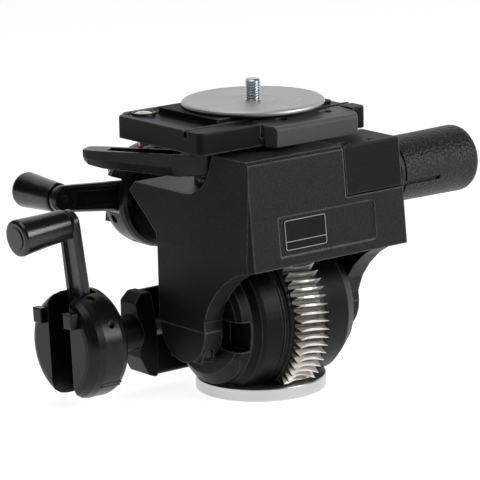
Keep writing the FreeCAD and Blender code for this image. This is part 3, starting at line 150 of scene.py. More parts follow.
class Value:
    """A socket that takes part in sums: each operator adds the Math node for it."""

    def __init__(self, graph, socket):
        self.graph = graph
        self.socket = socket

    def math(self, operation, *others):
        return self.graph.node("ShaderNodeMath", {"operation": operation}, [self, *others])

    def __add__(self, other):
        return self.math("ADD", other)

    def __radd__(self, other):
        return self.math("ADD", other)

    def __sub__(self, other):
        return self.math("SUBTRACT", other)

    def __rsub__(self, other):
        return self.graph.node("ShaderNodeMath", {"operation": "SUBTRACT"}, [other, self])

    def __mul__(self, other):
        return self.math("MULTIPLY", other)

    def __rmul__(self, other):
        return self.math("MULTIPLY", other)

    def __truediv__(self, other):
        return self.math("DIVIDE", other)

    def __pow__(self, other):
        return self.math("POWER", other)

    def __gt__(self, other):
        return self.math("GREATER_THAN", other)

    def __lt__(self, other):
        return self.math("LESS_THAN", other)

    def sine(self):
        return self.math("SINE")

    def size(self):
        return self.math("ABSOLUTE")

    def clamped(self):
        return self.graph.node("ShaderNodeClamp", {}, [self])

    def ramp(self, start, end):
        """0 below start, 1 above end, smooth between them."""
        return self.graph.node("ShaderNodeMapRange", {"interpolation_type": "SMOOTHSTEP"},
                                [self, start, end, 0.0, 1.0])


class Graph:
    """The shader nodes of a material or a world, emptied to start with."""

    def __init__(self, owner):
        owner.use_nodes = True
        self.tree = owner.node_tree
        self.tree.nodes.clear()

    def node(self, kind, settings, values, out=0):
        """A node of that kind: settings first, then its sockets by position or by name."""
        made = self.tree.nodes.new(kind)
        for key, value in settings.items():
            setattr(made, key, value)
        pairs = values.items() if isinstance(values, dict) else enumerate(values)
        for key, value in pairs:
            if isinstance(value, Value):
                self.tree.links.new(value.socket, made.inputs[key])
            else:
                made.inputs[key].default_value = value
        return made if out is None else Value(self, made.outputs[out])

    def seen_directly(self):
        """1 where the camera, or a mirror-like or clear surface, looks; 0 for all other light."""
        path = self.node("ShaderNodeLightPath", {}, [], None)
        rays = [Value(self, path.outputs[name]) for name in
                ("Is Camera Ray", "Is Glossy Ray", "Is Transmission Ray")]
        return (rays[0] + rays[1] + rays[2]).clamped()


class Finish(Graph):
    """A material under construction, with the metre coordinates of the piece at rest."""

    def __init__(self, name):
        self.material = bpy.data.materials.new(name)
        super().__init__(self.material)
        self.place = self.node("ShaderNodeTexCoord", {}, [], "Object")
        parts = self.node("ShaderNodeSeparateXYZ", {}, [self.place], None)
        self.x, self.y, self.z = [Value(self, s) for s in parts.outputs]

    def noise(self, scale, detail=2.0, rough=0.5, place=None):
        """Soft noise between 0 and 1, its grain 1 / scale metres across."""
        return self.node("ShaderNodeTexNoise", {}, {
            "Vector": place or self.place, "Scale": scale, "Detail": detail, "Roughness": rough})

    def cells(self, scale):
        """Distance to the nearest of many scattered points: pits, pebbles, leather grain."""
        return self.node("ShaderNodeTexVoronoi", {"feature": "SMOOTH_F1"}, {
            "Vector": self.place, "Scale": scale})

    def stretched(self, sx, sy, sz):
        """The coordinates, multiplied axis by axis."""
        return self.node("ShaderNodeVectorMath", {"operation": "MULTIPLY"}, [self.place, (sx, sy, sz)])

    def blend(self, amount, low, high):
        """A colour between low and high."""
        return self.node("ShaderNodeMix", {"data_type": "RGBA"}, {0: amount, 6: low, 7: high}, 2)

    def radius(self, cx, cy, cz, axis):
        """Distance from a line along x, y or z through the given point, in metres."""
        squares = [(v - c) ** 2.0 for v, c, n in
                   ((self.x, cx, "x"), (self.y, cy, "y"), (self.z, cz, "z")) if n != axis]
        return (squares[0] + squares[1]).math("SQRT")

    def bump(self, height, distance, strength=1.0, under=None):
        """A normal tilted by the height, over another normal where one is given."""
        values = {"Height": height, "Distance": distance, "Strength": strength}
        if under is not None:
            values["Normal"] = under
        return self.node("ShaderNodeBump", {}, values)

    def soft_edges(self, radius):
        """The normal as if every sharp edge were rounded to that radius."""
        return self.node("ShaderNodeBevel", {"samples": 6}, {"Radius": radius})

    def edge_mask(self, radius, low=0.02, high=0.22):
        """1 on sharp edges, 0 on faces."""
        rounded = self.node("ShaderNodeBevel", {"samples": 4}, {"Radius": radius})
        flat = self.node("ShaderNodeNewGeometry", {}, [], "True Normal")
        same = self.node("ShaderNodeVectorMath", {"operation": "DOT_PRODUCT"}, [rounded, flat], "Value")
        return (1.0 - same).ramp(low, high)

    def surface(self, **sockets):
        """The closing shader. Plain numbers are set on it, values are linked to it."""
        names = {key.replace("_", " ").title().replace("Ior", "IOR"): value
                 for key, value in sockets.items()}
        shader = self.node("ShaderNodeBsdfPrincipled", {}, names)
        self.node("ShaderNodeOutputMaterial", {}, {"Surface": shader}, None)
        return self.material


# ---------------------------------------------------------------- finishes

def scaled(tone, factor):
    """A darker or paler tone of the same colour."""
    return (*[min(1.0, c * factor) for c in tone[:3]], 1.0)


def lifted(tone, amount):
    """The tone with the same amount added to each channel."""
    return (*[c + amount for c in tone[:3]], 1.0)


def cast_paint(name, tone, grain, rough, edge_highlight_and_wear=0.24, shine=0.12, mottle=0.55):
    """Black paint on a casting: fine orange peel, pits, every edge painted paler as a painted highlight, paler
    still where rubbed.

    grain is the peel's bumps in a metre, the edge lift what an edge adds to the tone (a painted highlight on every
    edge, paler still where rubbed), and mottle how far the peel varies the tone.
    """
    f = Finish(name)
    cloud = f.noise(38.0, detail=3.0)
    peel = f.noise(grain, detail=4.0, rough=0.62)
    pits = f.cells(grain * 1.3)
    edge = f.edge_mask(1.3 * MM, low=0.004, high=0.10)
    rub = edge * f.noise(260.0, detail=3.0).ramp(0.30, 0.65)
    fleck = peel.ramp(0.38, 0.66) * 0.8 + cloud * 0.2
    low, high = scaled(tone, 1.0 - 0.60 * mottle), scaled(tone, 1.0 + 0.55 * mottle)
    shade = f.blend(fleck.clamped(), low, high)
    # Painted highlight: every edge is blended towards this paler tone, further where the noise marks rubbing.
    pale = lifted(tone, edge_highlight_and_wear)
    colour = f.blend((rub * 0.40 + edge * 0.60).clamped(), shade, pale)
    height = peel * 0.7 + pits * 0.3
    normal = f.bump(height, distance=0.34 * MM, strength=0.65, under=f.soft_edges(1.1 * MM))
    return f.surface(base_color=colour, roughness=(rough + cloud * 0.10 - edge * 0.08).clamped(),
                     normal=normal, specular_ior_level=shine)


def moulded(name, tone, rough, grain=2600.0, depth=0.05 * MM, scuffs=0.04, shine=0.30):
    """Moulded black plastic: even satin skin, faint flow marks, small scuffs."""
    f = Finish(name)
    flow = f.noise(55.0, detail=3.0)
    skin = f.noise(grain, detail=2.0)
    scuff = f.noise(340.0, detail=4.0, rough=0.7).ramp(0.60, 0.74)
    edge = f.edge_mask(0.6 * MM)
    colour = f.blend((scuff * 0.4 + edge * 0.3).clamped(), f.blend(flow, tone, scaled(tone, 1.3)),
                     lifted(tone, scuffs))
    normal = f.bump(skin, distance=depth, strength=0.5, under=f.soft_edges(0.5 * MM))
    return f.surface(base_color=colour, roughness=(rough + flow * 0.06 + scuff * 0.14).clamped(),
                     normal=normal, specular_ior_level=shine)


def leather_grain(name, tone):
    """Rubber sleeve with a pebbled grain, the gaps between pebbles painted darker and their tops paler: painted
    shade and highlight.
    """
    f = Finish(name)
    pebbles = f.cells(720.0)
    fine = f.noise(2400.0, detail=2.0)
    cloud = f.noise(40.0, detail=2.0)
    lift = (1.0 - pebbles * 1.2).clamped()
    # Painted shade and highlight: the tone follows the pebbles' height, dark in the gaps and pale on the tops.
    colour = f.blend((lift * 0.8 + cloud * 0.2).clamped(), scaled(tone, 0.25), scaled(tone, 1.25))
    normal = f.bump(lift * 0.8 + fine * 0.2, distance=0.60 * MM, strength=1.0)
    return f.surface(base_color=colour, roughness=(0.46 - lift * 0.16 + cloud * 0.08).clamped(),
                     normal=normal, specular_ior_level=0.34)


def turned(name, tone, centre, axis, rough, spacing, depth, tarnish=0.12):
    """Metal faced on a lathe: fine rings round an axis, soft clouding, small nicks."""
    f = Finish(name)
    r = f.radius(*centre, axis)
    wobble = f.noise(60.0, detail=2.0) * (0.12 * MM)
    rings = ((r + wobble) * (2.0 * math.pi / spacing)).sine() * 0.5 + 0.5
    band = f.noise(900.0, detail=1.0)
    cloud = f.noise(26.0, detail=3.0)
    speck = f.noise(1500.0, detail=2.0).ramp(0.66, 0.78)
    colour = f.blend((cloud * 0.75 + speck * 0.5).clamped(), tone, scaled(tone, 1.0 - tarnish))
    height = rings * 0.6 + band * 0.4
    normal = f.bump(height, distance=depth, strength=0.35, under=f.soft_edges(0.35 * MM))
    return f.surface(base_color=colour, metallic=0.92, normal=normal,
                     roughness=(rough + cloud * 0.10 + speck * 0.1).clamped())


def arc_mark(f, r, centre, facing, spread):
    """1 on a thin arc round centre: its middle direction and half its spread, in degrees."""
    along = math.radians(facing)
    ahead = ((f.x - centre[0]) * math.cos(along) + (f.y - centre[1]) * math.sin(along)) / r
    inside = ahead > math.cos(math.radians(spread))
    return inside * ((r - ARC_R).size() < ARC_LINE / 2.0)


def marked_disc(name, tone, centre):
    """Satin disc with two thin printed arcs round the thread, and light handling marks."""
    f = Finish(name)
    r = f.radius(*centre, "z")
    rings = (r * (2.0 * math.pi / DISC_RINGS)).sine() * 0.5 + 0.5
    cloud = f.noise(30.0, detail=3.0)
    speck = f.noise(1300.0, detail=3.0).ramp(0.62, 0.76)
    front_arc, back_arc = [arc_mark(f, r, centre, *arc) for arc in ARCS]
    worn = (front_arc + back_arc).clamped() * (0.45 + f.noise(700.0, detail=2.0) * 0.5)
    satin = f.blend((cloud * 0.7 + speck * 0.4).clamped(), tone, scaled(tone, 0.86))
    colour = f.blend(worn.clamped(), satin, ARC_TONE)
    height = rings * 0.5 + f.noise(1900.0, detail=2.0) * 0.5
    normal = f.bump(height, distance=0.02 * MM, strength=0.35, under=f.soft_edges(0.35 * MM))
    return f.surface(base_color=colour, metallic=(0.82 - worn * 0.5).clamped(),
                     roughness=(0.46 + cloud * 0.10 + speck * 0.08).clamped(), normal=normal)


def cut_gear(name, tone, centre, axis, root_r, tip_r, half_width):
    """Cut teeth or a thread: bright crests and flanks, roots painted dark (painted shade, with grime on top),
    black ends.
    """
    f = Finish(name)
    r = f.radius(*centre, axis)
    height = r.ramp(root_r, tip_r)
    grime = f.noise(320.0, detail=4.0, rough=0.65)
    along = (getattr(f, axis) - centre["xyz".index(axis)]).size()
    ends = along.ramp(half_width - BLACK_STARTS, half_width - BLACK_FULL)
    # Painted shade: darker towards the root, with grime noise on top.
    depth = (1.0 - height) * 0.90 + grime.ramp(0.50, 0.80) * 0.20
    marks = f.noise(1.0, detail=2.0, place=f.stretched(4200.0, 380.0, 380.0))
    steel = f.blend(depth.clamped(), tone, ROOT_SHADE_AND_GRIME_TONE)
    colour = f.blend(ends, steel, BLACKED_TONE)
    normal = f.bump(marks, distance=0.05 * MM, strength=0.5, under=f.soft_edges(0.25 * MM))
    return f.surface(base_color=colour, metallic=(0.80 - ends * 0.8).clamped(),
                     roughness=(0.34 + depth * 0.20 + grime * 0.10).clamped(), normal=normal)


def plain_steel(name, tone, rough, metallic=1.0):
    """Small steel or brass parts: brushed a little, faint stains."""
    f = Finish(name)
    brush = f.noise(1.0, detail=3.0, place=f.stretched(1400.0, 1400.0, 6200.0))
    stain = f.noise(420.0, detail=3.0)
    colour = f.blend(stain * 0.6, tone, scaled(tone, 0.72))
    normal = f.bump(brush, distance=0.03 * MM, strength=0.5, under=f.soft_edges(0.2 * MM))
    return f.surface(base_color=colour, metallic=metallic, normal=normal,
                     roughness=(rough + stain * 0.14).clamped())


def level_liquid(name, tone, centre):
    """Tinted liquid under a clear dome, darker towards its rim."""
    f = Finish(name)
    r = f.radius(*centre, "z")
    rim = r.ramp(*LIQUID_RIM)
    swirl = f.noise(300.0, detail=2.0)
    colour = f.blend((rim * 0.75 + swirl * 0.1).clamped(), tone, scaled(tone, 0.45))
    normal = f.bump(swirl, distance=0.02 * MM, strength=0.2)
    return f.surface(base_color=colour, roughness=(0.08 + swirl * 0.04).clamped(), normal=normal,
                     ior=1.46, coat_weight=1.0)


# ---------------------------------------------------------------- meshes and placing

def coloured(nodes, material):
    """Puts the material on every slot of the named CAD nodes."""
    for name in nodes:
        piece = frame["nodes"][name]
        if not piece.data.materials:
            piece.data.materials.append(material)
        for slot in piece.material_slots:
            slot.link = "OBJECT"
            slot.material = material


def piece_from(name, points, faces, body, material, smooth=False):
    """A mesh piece in the model's frame that rides on a body."""
    mesh = bpy.data.meshes.new(name)
    mesh.from_pydata([tuple(p) for p in points], [], faces)
    shell = bmesh.new()
    shell.from_mesh(mesh)
    bmesh.ops.recalc_face_normals(shell, faces=shell.faces)
    shell.to_mesh(mesh)
    shell.free()
    for face in mesh.polygons:
        face.use_smooth = smooth
    mesh.materials.append(material)
    piece = bpy.data.objects.new(name, mesh)
    bpy.context.scene.collection.objects.link(piece)
    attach(piece, body)
    return piece


def middle(low, high):
    """The point at height zero under a box's middle."""
    return ((low[0] + high[0]) / 2.0, (low[1] + high[1]) / 2.0, 0.0)


def ring(centre, radius, height, around):
    """Points of a level ring. The radius is a number, or a function of the angle."""
    points = []
    for step in range(around):
        angle = 2.0 * math.pi * step / around
        reach = radius(angle) if callable(radius) else radius
        points.append(Vector(centre) + Vector((reach * math.cos(angle), reach * math.sin(angle), height)))
    return points


def ring_faces(rows, around):
    """Quads between rows of points that go round an axis."""
    faces = []
    for row in range(rows - 1):
        for step in range(around):
            a = row * around + step
            b = row * around + (step + 1) % around
            faces.append((a, b, b + around, a + around))
    return faces


def closed_rings(rows, around):
    """The quads between the rows, and a face over the first and the last."""
    last = (rows - 1) * around
    return ring_faces(rows, around) + [tuple(range(around)), tuple(range(last, last + around))]


# ---------------------------------------------------------------- what a user can set

def tone_setting(label, description, *tone):
    """A colour that a user can change."""
    return FloatVectorProperty(name=label, description=description, subtype="COLOR", size=4,
                               min=0.0, max=1.0, default=(*tone, 1.0))


def power_setting(label, description, watts):
    """A lamp's power."""
    return FloatProperty(name=label, description=description, default=watts, min=0.0, unit="POWER")


class HeadColours(bpy.types.PropertyGroup):
    """Paint, plastic and metal tones."""
    paint: tone_setting("Casting paint", "Black paint of the castings", 0.0300, 0.0300, 0.0306)
    platform: tone_setting("Platform paint", "Black paint of the platform and its clamp",
                           0.016, 0.0155, 0.0150)
    plastic: tone_setting("Crank plastic", "Black plastic of the cranks", 0.022, 0.022, 0.0225)
    rubber: tone_setting("Grip rubber", "Black rubber of the side grip", 0.0115, 0.0115, 0.0115)
    aluminium: tone_setting("Bare aluminium", "Turned discs", 0.62, 0.62, 0.63)
    gear: tone_setting("Gear metal", "Cut teeth", 0.84, 0.82, 0.77)
    plated: tone_setting("Plated steel", "Camera thread, pins and axles", 0.62, 0.64, 0.66)
    brass: tone_setting("Brass", "Safety pin and set screws", 0.56, 0.34, 0.10)
    spindle: tone_setting("Spindle oxide", "Blackened spindles of the crank grips", 0.020, 0.020, 0.020)
    screws: tone_setting("Black oxide", "Socket screws, lever pin and wheel bolt", 0.035, 0.034, 0.033)
    jaw_screws: tone_setting("Worn oxide", "Screws of the clamp jaw", 0.16, 0.155, 0.15)
    liquid: tone_setting("Level liquid", "Tint of the spirit level", 0.50, 0.66, 0.05)
    air: tone_setting("Level bubble", "Bubble in the spirit level", 0.80, 0.90, 0.42)
    border: tone_setting("Plate border", "Pale lines of the blank plate", 0.50, 0.50, 0.50)
    floor: tone_setting("Floor", "Floor and backdrop", 0.5, 0.5, 0.5)


class HeadSizes(bpy.types.PropertyGroup):
    """Sizes of the camera thread."""
    thread_pitch: FloatProperty(name="Thread pitch", description="Camera thread, one turn",
                                default=1.5875 * MM, min=0.5 * MM, max=3.0 * MM, unit="LENGTH",
                                precision=5)
    thread_depth: FloatProperty(name="Thread depth", description="Crest to root", default=0.80 * MM,
                                min=0.2 * MM, max=1.2 * MM, unit="LENGTH", precision=5)
    thread_steps: IntProperty(name="Thread steps", description="Facets round the thread", default=40,
                              min=16, max=96)


class StudioSettings(bpy.types.PropertyGroup):
    """Lamps and camera."""
    key_power: power_setting("Key lamp", "Large soft lamp over the clamp side", 17.0)
    top_power: power_setting("Top lamp", "Soft lamp overhead", 6.0)
    side_power: power_setting("Side lamp", "Narrow lamp on the crank side", 0.25)
    sky: FloatProperty(name="Sky", description="Even light all round", default=0.03, min=0.0, max=2.0)
    glow: FloatProperty(name="Backdrop glow", description="Lifts the floor to white where it is looked at",
                        default=0.90, min=0.0, max=2.0)
    lens: FloatProperty(name="Lens", description="Focal length in millimetres", default=251.18,
                        min=20.0, max=500.0)


# ---------------------------------------------------------------- the pieces

class HEAD_OT_castings(bpy.types.Operator):
    """Paints the body, its bearing caps, the pan housing, the neck and the grip block"""
    bl_idname = "head.castings"
    bl_label = "Castings"

    def execute(self, context):
        tone = context.scene.head_colours.paint
        body = cast_paint("casting_paint", tone, grain=1000.0, rough=0.36)
        block = cast_paint("block_paint", scaled(tone, 0.46), grain=1300.0, rough=0.42, shine=0.10)
        # The housing takes the casting paint at a quarter of its tone: painted shade on the low drum.
        housing = cast_paint("housing_shaded_paint", scaled(tone, 0.24), grain=1500.0, rough=0.28)
        coloured(["tilt_body", "left_bearing_cap", "right_bearing_cap", "platform_neck"], body)
        coloured(["grip_block"], block)
        coloured(["pan_housing"], housing)
        return {"FINISHED"}


class HEAD_OT_platform(bpy.types.Operator):
    """Paints the platform, its clamp jaw and the sliding camera plate"""
    bl_idname = "head.platform"
    bl_label = "Platform"

    def execute(self, context):
        tone = context.scene.head_colours.platform
        table = cast_paint("platform_paint", scaled(tone, 0.6), grain=1600.0, rough=0.34, shine=0.10)
        # The jaw is the platform's black made eight times paler: a painted highlight for the light its face
        # catches.
        jaw = cast_paint("jaw_lit_paint", scaled(tone, 8.0), grain=1600.0, rough=0.36, mottle=0.30)
        plate = cast_paint("plate_paint", scaled(tone, 0.7), grain=2600.0, rough=0.50)
        coloured(["platform"], table)
        coloured(["clamp_jaw"], jaw)
        coloured(["camera_plate"], plate)
        return {"FINISHED"}


class HEAD_OT_discs(bpy.types.Operator):
    """Finishes the turned base disc and the camera disc"""
    bl_idname = "head.discs"
    bl_label = "Turned discs"

    def execute(self, context):
        tone = context.scene.head_colours.aluminium
        base = turned("base_turned", scaled(tone, 1.04), (0.0, 0.0, 0.0), "z", rough=0.24,
                      spacing=BASE_RINGS, depth=0.030 * MM)
        coloured(["base_disc"], base)
        coloured(["camera_disc"], marked_disc("disc_satin", scaled(tone, 0.95), DISC_CENTRE))
        return {"FINISHED"}


class HEAD_OT_gears(bpy.types.Operator):
    """Finishes both worm wheels, their worms and the stub axles"""
    bl_idname = "head.gears"
    bl_label = "Gears"

    def execute(self, context):
        colours = context.scene.head_colours
        for node, finish, centre, axis, teeth in (
                ("tilt_gear", "tilt_teeth", TILT_AXIS, "x", TILT_TEETH),
                ("pan_worm_wheel", "pan_teeth", PAN_WHEEL, "z", PAN_TEETH),
                ("tilt_worm", "tilt_worm_thread", TILT_WORM, "y", TILT_THREAD),
                ("pan_worm", "pan_worm_thread", PAN_WORM, "x", PAN_THREAD)):
            coloured([node], cut_gear(finish, colours.gear, centre, axis, *teeth))
        coloured(["left_axle", "right_axle"], plain_steel("axle_steel", colours.plated, rough=0.3))
        return {"FINISHED"}


class HEAD_OT_cranks(bpy.types.Operator):
    """Finishes both cranks: discs, clips, folding arms, grips and pins"""
    bl_idname = "head.cranks"
    bl_label = "Cranks"

    def execute(self, context):
        colours = context.scene.head_colours
        plastic = colours.plastic
        finishes = {
            ("crank", "clips"): moulded("crank_plastic", scaled(plastic, 0.36), rough=0.24, shine=0.26),
            ("arm",): moulded("arm_plastic", scaled(plastic, 0.8), rough=0.24, shine=0.5),
            ("grip", "grip_cap"): moulded("grip_plastic", scaled(plastic, 0.40), rough=0.20,
                                          grain=1900.0, shine=0.55),
            ("fold_pin",): plain_steel("pin_steel", colours.plated, rough=0.28),
            ("spindle",): plain_steel("spindle_oxide", colours.spindle, rough=0.40, metallic=0.5),
            ("set_screw",): plain_steel("set_screw_brass", colours.brass, rough=0.3),
        }
        for side in ("pan", "tilt"):
            for pieces, finish in finishes.items():
                coloured([f"{side}_{piece}" for piece in pieces], finish)
        return {"FINISHED"}


class HEAD_OT_side_grip(bpy.types.Operator):
    """Gives the side grip its rubber grain and its core a darkened steel"""
    bl_idname = "head.side_grip"
    bl_label = "Side grip"

    def execute(self, context):
        colours = context.scene.head_colours
        core = plain_steel("core_steel", scaled(colours.plated, 0.05), rough=0.5, metallic=0.4)
        coloured(["side_grip"], leather_grain("grip_rubber", colours.rubber))
        coloured(["grip_core"], core)
        return {"FINISHED"}


class HEAD_OT_lever(bpy.types.Operator):
    """Finishes the release lever and the brass safety pin"""
    bl_idname = "head.lever"
    bl_label = "Release lever"

    def execute(self, context):
        colours = context.scene.head_colours
        plastic = moulded("lever_plastic", scaled(colours.plastic, 0.8), rough=0.24, grain=3000.0,
                          depth=0.03 * MM, shine=0.24)
        coloured(["release_lever"], plastic)
        coloured(["safety_pin"], plain_steel("brass", colours.brass, rough=0.22))
        return {"FINISHED"}


class HEAD_OT_fasteners(bpy.types.Operator):
    """Finishes the socket screws, the lever's pin and the pan wheel's bolt"""
    bl_idname = "head.fasteners"
    bl_label = "Fasteners"

    def execute(self, context):
        colours = context.scene.head_colours
        black = plain_steel("black_oxide", colours.screws, rough=0.30, metallic=0.85)
        worn = plain_steel("worn_oxide", colours.jaw_screws, rough=0.26, metallic=0.95)
        coloured(["bearing_screws", "grip_block_screws", "pan_wheel_bolt", "lever_pin"], black)
        coloured(["jaw_screws"], worn)
        return {"FINISHED"}


class HEAD_OT_level(bpy.types.Operator):
    """Fills the spirit level: its ring, tinted liquid and bubble"""
    bl_idname = "head.level"
    bl_label = "Spirit level"

    def execute(self, context):
        colours = context.scene.head_colours
        low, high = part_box("bubble_vial")
        centre = middle(low, high)
        coloured(["bubble_vial"], level_liquid("level_liquid", colours.liquid, centre))
        coloured(["bubble_ring"], plain_steel("level_rim", scaled(colours.plated, 0.25), rough=0.35))
        foot = high[2] - BUBBLE_SINK
        points = [point for rise, radius in BUBBLE_DOME
                  for point in ring(centre, radius, foot + rise, BUBBLE_AROUND)]
        faces = closed_rings(len(BUBBLE_DOME), BUBBLE_AROUND)
        air = level_liquid("level_air", colours.air, centre)
        piece_from("level_bubble", points, faces, "tilt_unit", air, smooth=True)
        return {"FINISHED"}


def thread_radius(sizes, height, angle, end):
    """Radius of the thread at a height and angle: flat crests, V-shaped roots, its end cut down."""
    phase = (height / sizes.thread_pitch - angle / (2.0 * math.pi)) % 1.0
    off_crest = abs(phase - 0.5) * 2.0
    flank = min(1.0, max(0.0, (off_crest - CREST_SHARE) / (1.0 - 2.0 * CREST_SHARE)))
    chamfer = max(0.0, THREAD_CHAMFER - (end - height))
    return STUD_R - max(sizes.thread_depth * flank, chamfer)


class HEAD_OT_camera_thread(bpy.types.Operator):
    """Cuts the thread on the camera stud"""
    bl_idname = "head.camera_thread"
    bl_label = "Camera thread"

    def execute(self, context):
        sizes, colours = context.scene.head_sizes, context.scene.head_colours
        low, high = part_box("camera_stud")
        centre, end, around = middle(low, high), high[2], sizes.thread_steps
        rows = [(low[2], COLLAR_R), (COLLAR_Z, COLLAR_R), (COLLAR_Z, NECK_R)]
        steps = round((end - THREAD_Z) / sizes.thread_pitch * THREAD_ROWS)
        for step in range(steps + 1):
            height = THREAD_Z + (end - THREAD_Z) * step / steps
            rows.append((height, lambda angle, z=height: thread_radius(sizes, z, angle, end)))
        points = [point for height, reach in rows for point in ring(centre, reach, height, around)]
        plated = plain_steel("thread_plating", colours.plated, rough=0.20)
        thread = piece_from("camera_thread", points, closed_rings(len(rows), around), "plate_unit",
                            plated, smooth=True)
        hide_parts("camera_stud")
        return {"FINISHED"}


def rounded_corners(x0, x1, z0, z1, radius, steps=6):
    """(x, z) points round a rectangle with rounded corners."""
    outline = []
    for cx, cz, start in ((x1, z1, 0), (x0, z1, 90), (x0, z0, 180), (x1, z0, 270)):
        inward_x = radius if cx == x0 else -radius
        inward_z = radius if cz == z0 else -radius
        for step in range(steps + 1):
            angle = math.radians(start + 90.0 * step / steps)
            outline.append((cx + inward_x + radius * math.cos(angle),
                            cz + inward_z + radius * math.sin(angle)))
    return outline


def label_outline(inset):
    """The blank plate's outline, moved inwards."""
    return rounded_corners(LABEL_LEFT + inset, LABEL_LEFT + LABEL_W - inset,
                           LABEL_FOOT + inset, LABEL_FOOT + LABEL_H - inset, LABEL_CORNER - inset)


def on_front(outline, sunk):
    """The (x, z) points laid on the body's sloping front, that far below its surface."""
    return [(x, FRONT_Y + FRONT_LEAN * (z - FRONT_Z) + sunk, z) for x, z in outline]


class HEAD_OT_label_plate(bpy.types.Operator):
    """Lays a blank plate with a pale border in the body's recess"""
    bl_idname = "head.label_plate"
    bl_label = "Blank plate"

    def execute(self, context):
        colours = context.scene.head_colours
        film = moulded("plate_film", scaled(colours.paint, 0.30), rough=0.30, grain=1500.0,
                       depth=0.02 * MM, shine=0.12)
        ink = moulded("plate_border", colours.border, rough=0.45, grain=900.0, depth=0.01 * MM)
        outline = label_outline(0.0)
        count = len(outline)
        points = on_front(outline, LABEL_BACK) + on_front(outline, LABEL_FACE)
        piece_from("label_plate", points, closed_rings(2, count), "tilt_unit", film)

        inner = BORDER_INSET + BORDER_LINE
        left, right = LABEL_LEFT + inner, LABEL_LEFT + LABEL_W - inner
        foot = LABEL_FOOT + BAR_RISE
        bar = [(left, foot), (right, foot), (right, foot + BORDER_LINE), (left, foot + BORDER_LINE)]
        lines = [*label_outline(BORDER_INSET), *label_outline(inner), *bar]
        faces = ring_faces(2, count) + [tuple(range(2 * count, len(lines)))]
        points = on_front(lines, LABEL_FACE - BORDER_STAND)
        piece_from("label_border", points, faces, "tilt_unit", ink)
        return {"FINISHED"}


def ridge(place, facing, first):
    """Points and faces of one ridge on a crank's rim. place sets (along, across, up) in the model."""
    points = []
    for angle, lift in MARK_RIDGE:
        turn = math.radians(facing + angle)
        reach = MARK_R + lift
        points += [place(along, reach * math.cos(turn), reach * math.sin(turn))
                   for along in (MARK_START, MARK_END)]
    last = len(points) - 1
    faces = [(k, k + 1, k + 3, k + 2) for k in range(0, last - 1, 2)]
    faces += [tuple(range(0, last, 2)), tuple(range(1, last + 1, 2))]
    return points, [tuple(first + k for k in face) for face in faces]


class HEAD_OT_rim_marks(bpy.types.Operator):
    """Raises the moulded mark, a pair of ridges, on the rim of each crank disc"""
    bl_idname = "head.rim_marks"
    bl_label = "Rim marks"

    def execute(self, context):
        # The ridges are paler than the crank disc's plastic: a painted highlight along them.
        plastic = moulded("mark_lit_plastic", scaled(context.scene.head_colours.plastic, 1.3), rough=0.30)
        for side, centre, place, facing in (
                ("pan", PAN_CRANK, lambda along, across, up: (-along, across, up), PAN_MARK_AT),
                ("tilt", TILT_CRANK, lambda along, across, up: (across, along, up), TILT_MARK_AT)):
            points, faces = [], []
            for offset in (0.0, MARK_STEP):
                more_points, more_faces = ridge(place, facing + offset, len(points))
                points += [Vector(point) + Vector(centre) for point in more_points]
                faces += more_faces
            piece_from(f"{side}_rim_mark", points, faces, f"{side}_crank_unit", plastic)
        return {"FINISHED"}


# ---------------------------------------------------------------- the studio

AIM = (0.0, -0.01, 0.10)
KEY_LAMP = ((0.85, -1.35, 0.75), 0.9, 0.7)          # place, width and height
TOP_LAMP = ((-0.25, 0.10, 1.35), 1.1, 0.9)
SIDE_LAMP = ((-1.35, -0.15, 0.55), 0.35, 0.9)

FLOOR_HALF_W = 4.0
FLOOR_FRONT = -4.0
BACKDROP_AT, BACKDROP_H = 3.0, 4.0
BACKDROP_BEND, BEND_STEPS = 1.0, 15
BACKDROP_TURN = -38.1                               # degrees about Z, square to the camera

CAMERA_PLACE = (-1.205852, -1.520496, 0.539579)
CAMERA_TURN = (76.93566, 1.28487, -38.39813)        # degrees about X, Y and Z
SENSOR_W = 36.0                                     # millimetres
CAMERA_REACH = (0.05, 60.0)


def backdrop_material(tone, glow):
    """White where it is looked at, with the object's shadow kept; plain floor to every lamp."""
    f = Finish("studio_floor")
    mottle = f.noise(3.0, detail=2.0)
    colour = f.blend(mottle * 0.2, tone, scaled(tone, 0.97))
    matte = f.node("ShaderNodeBsdfDiffuse", {}, {"Color": colour})
    light = f.node("ShaderNodeEmission", {}, {"Color": WHITE, "Strength": f.seen_directly() * glow})
    both = f.node("ShaderNodeAddShader", {}, [matte, light])
    f.node("ShaderNodeOutputMaterial", {}, {"Surface": both}, None)
    return f.material


def soft_lamp(name, place, width, height, power):
    """A rectangular soft lamp that looks at the object."""
    light = bpy.data.lights.new(name, "AREA")
    light.shape = "RECTANGLE"
    light.size = width
    light.size_y = height
    light.energy = power
    lamp = bpy.data.objects.new(name, light)
    lamp.location = place
    lamp.rotation_euler = (Vector(AIM) - Vector(place)).to_track_quat("-Z", "Y").to_euler()
    bpy.context.scene.collection.objects.link(lamp)


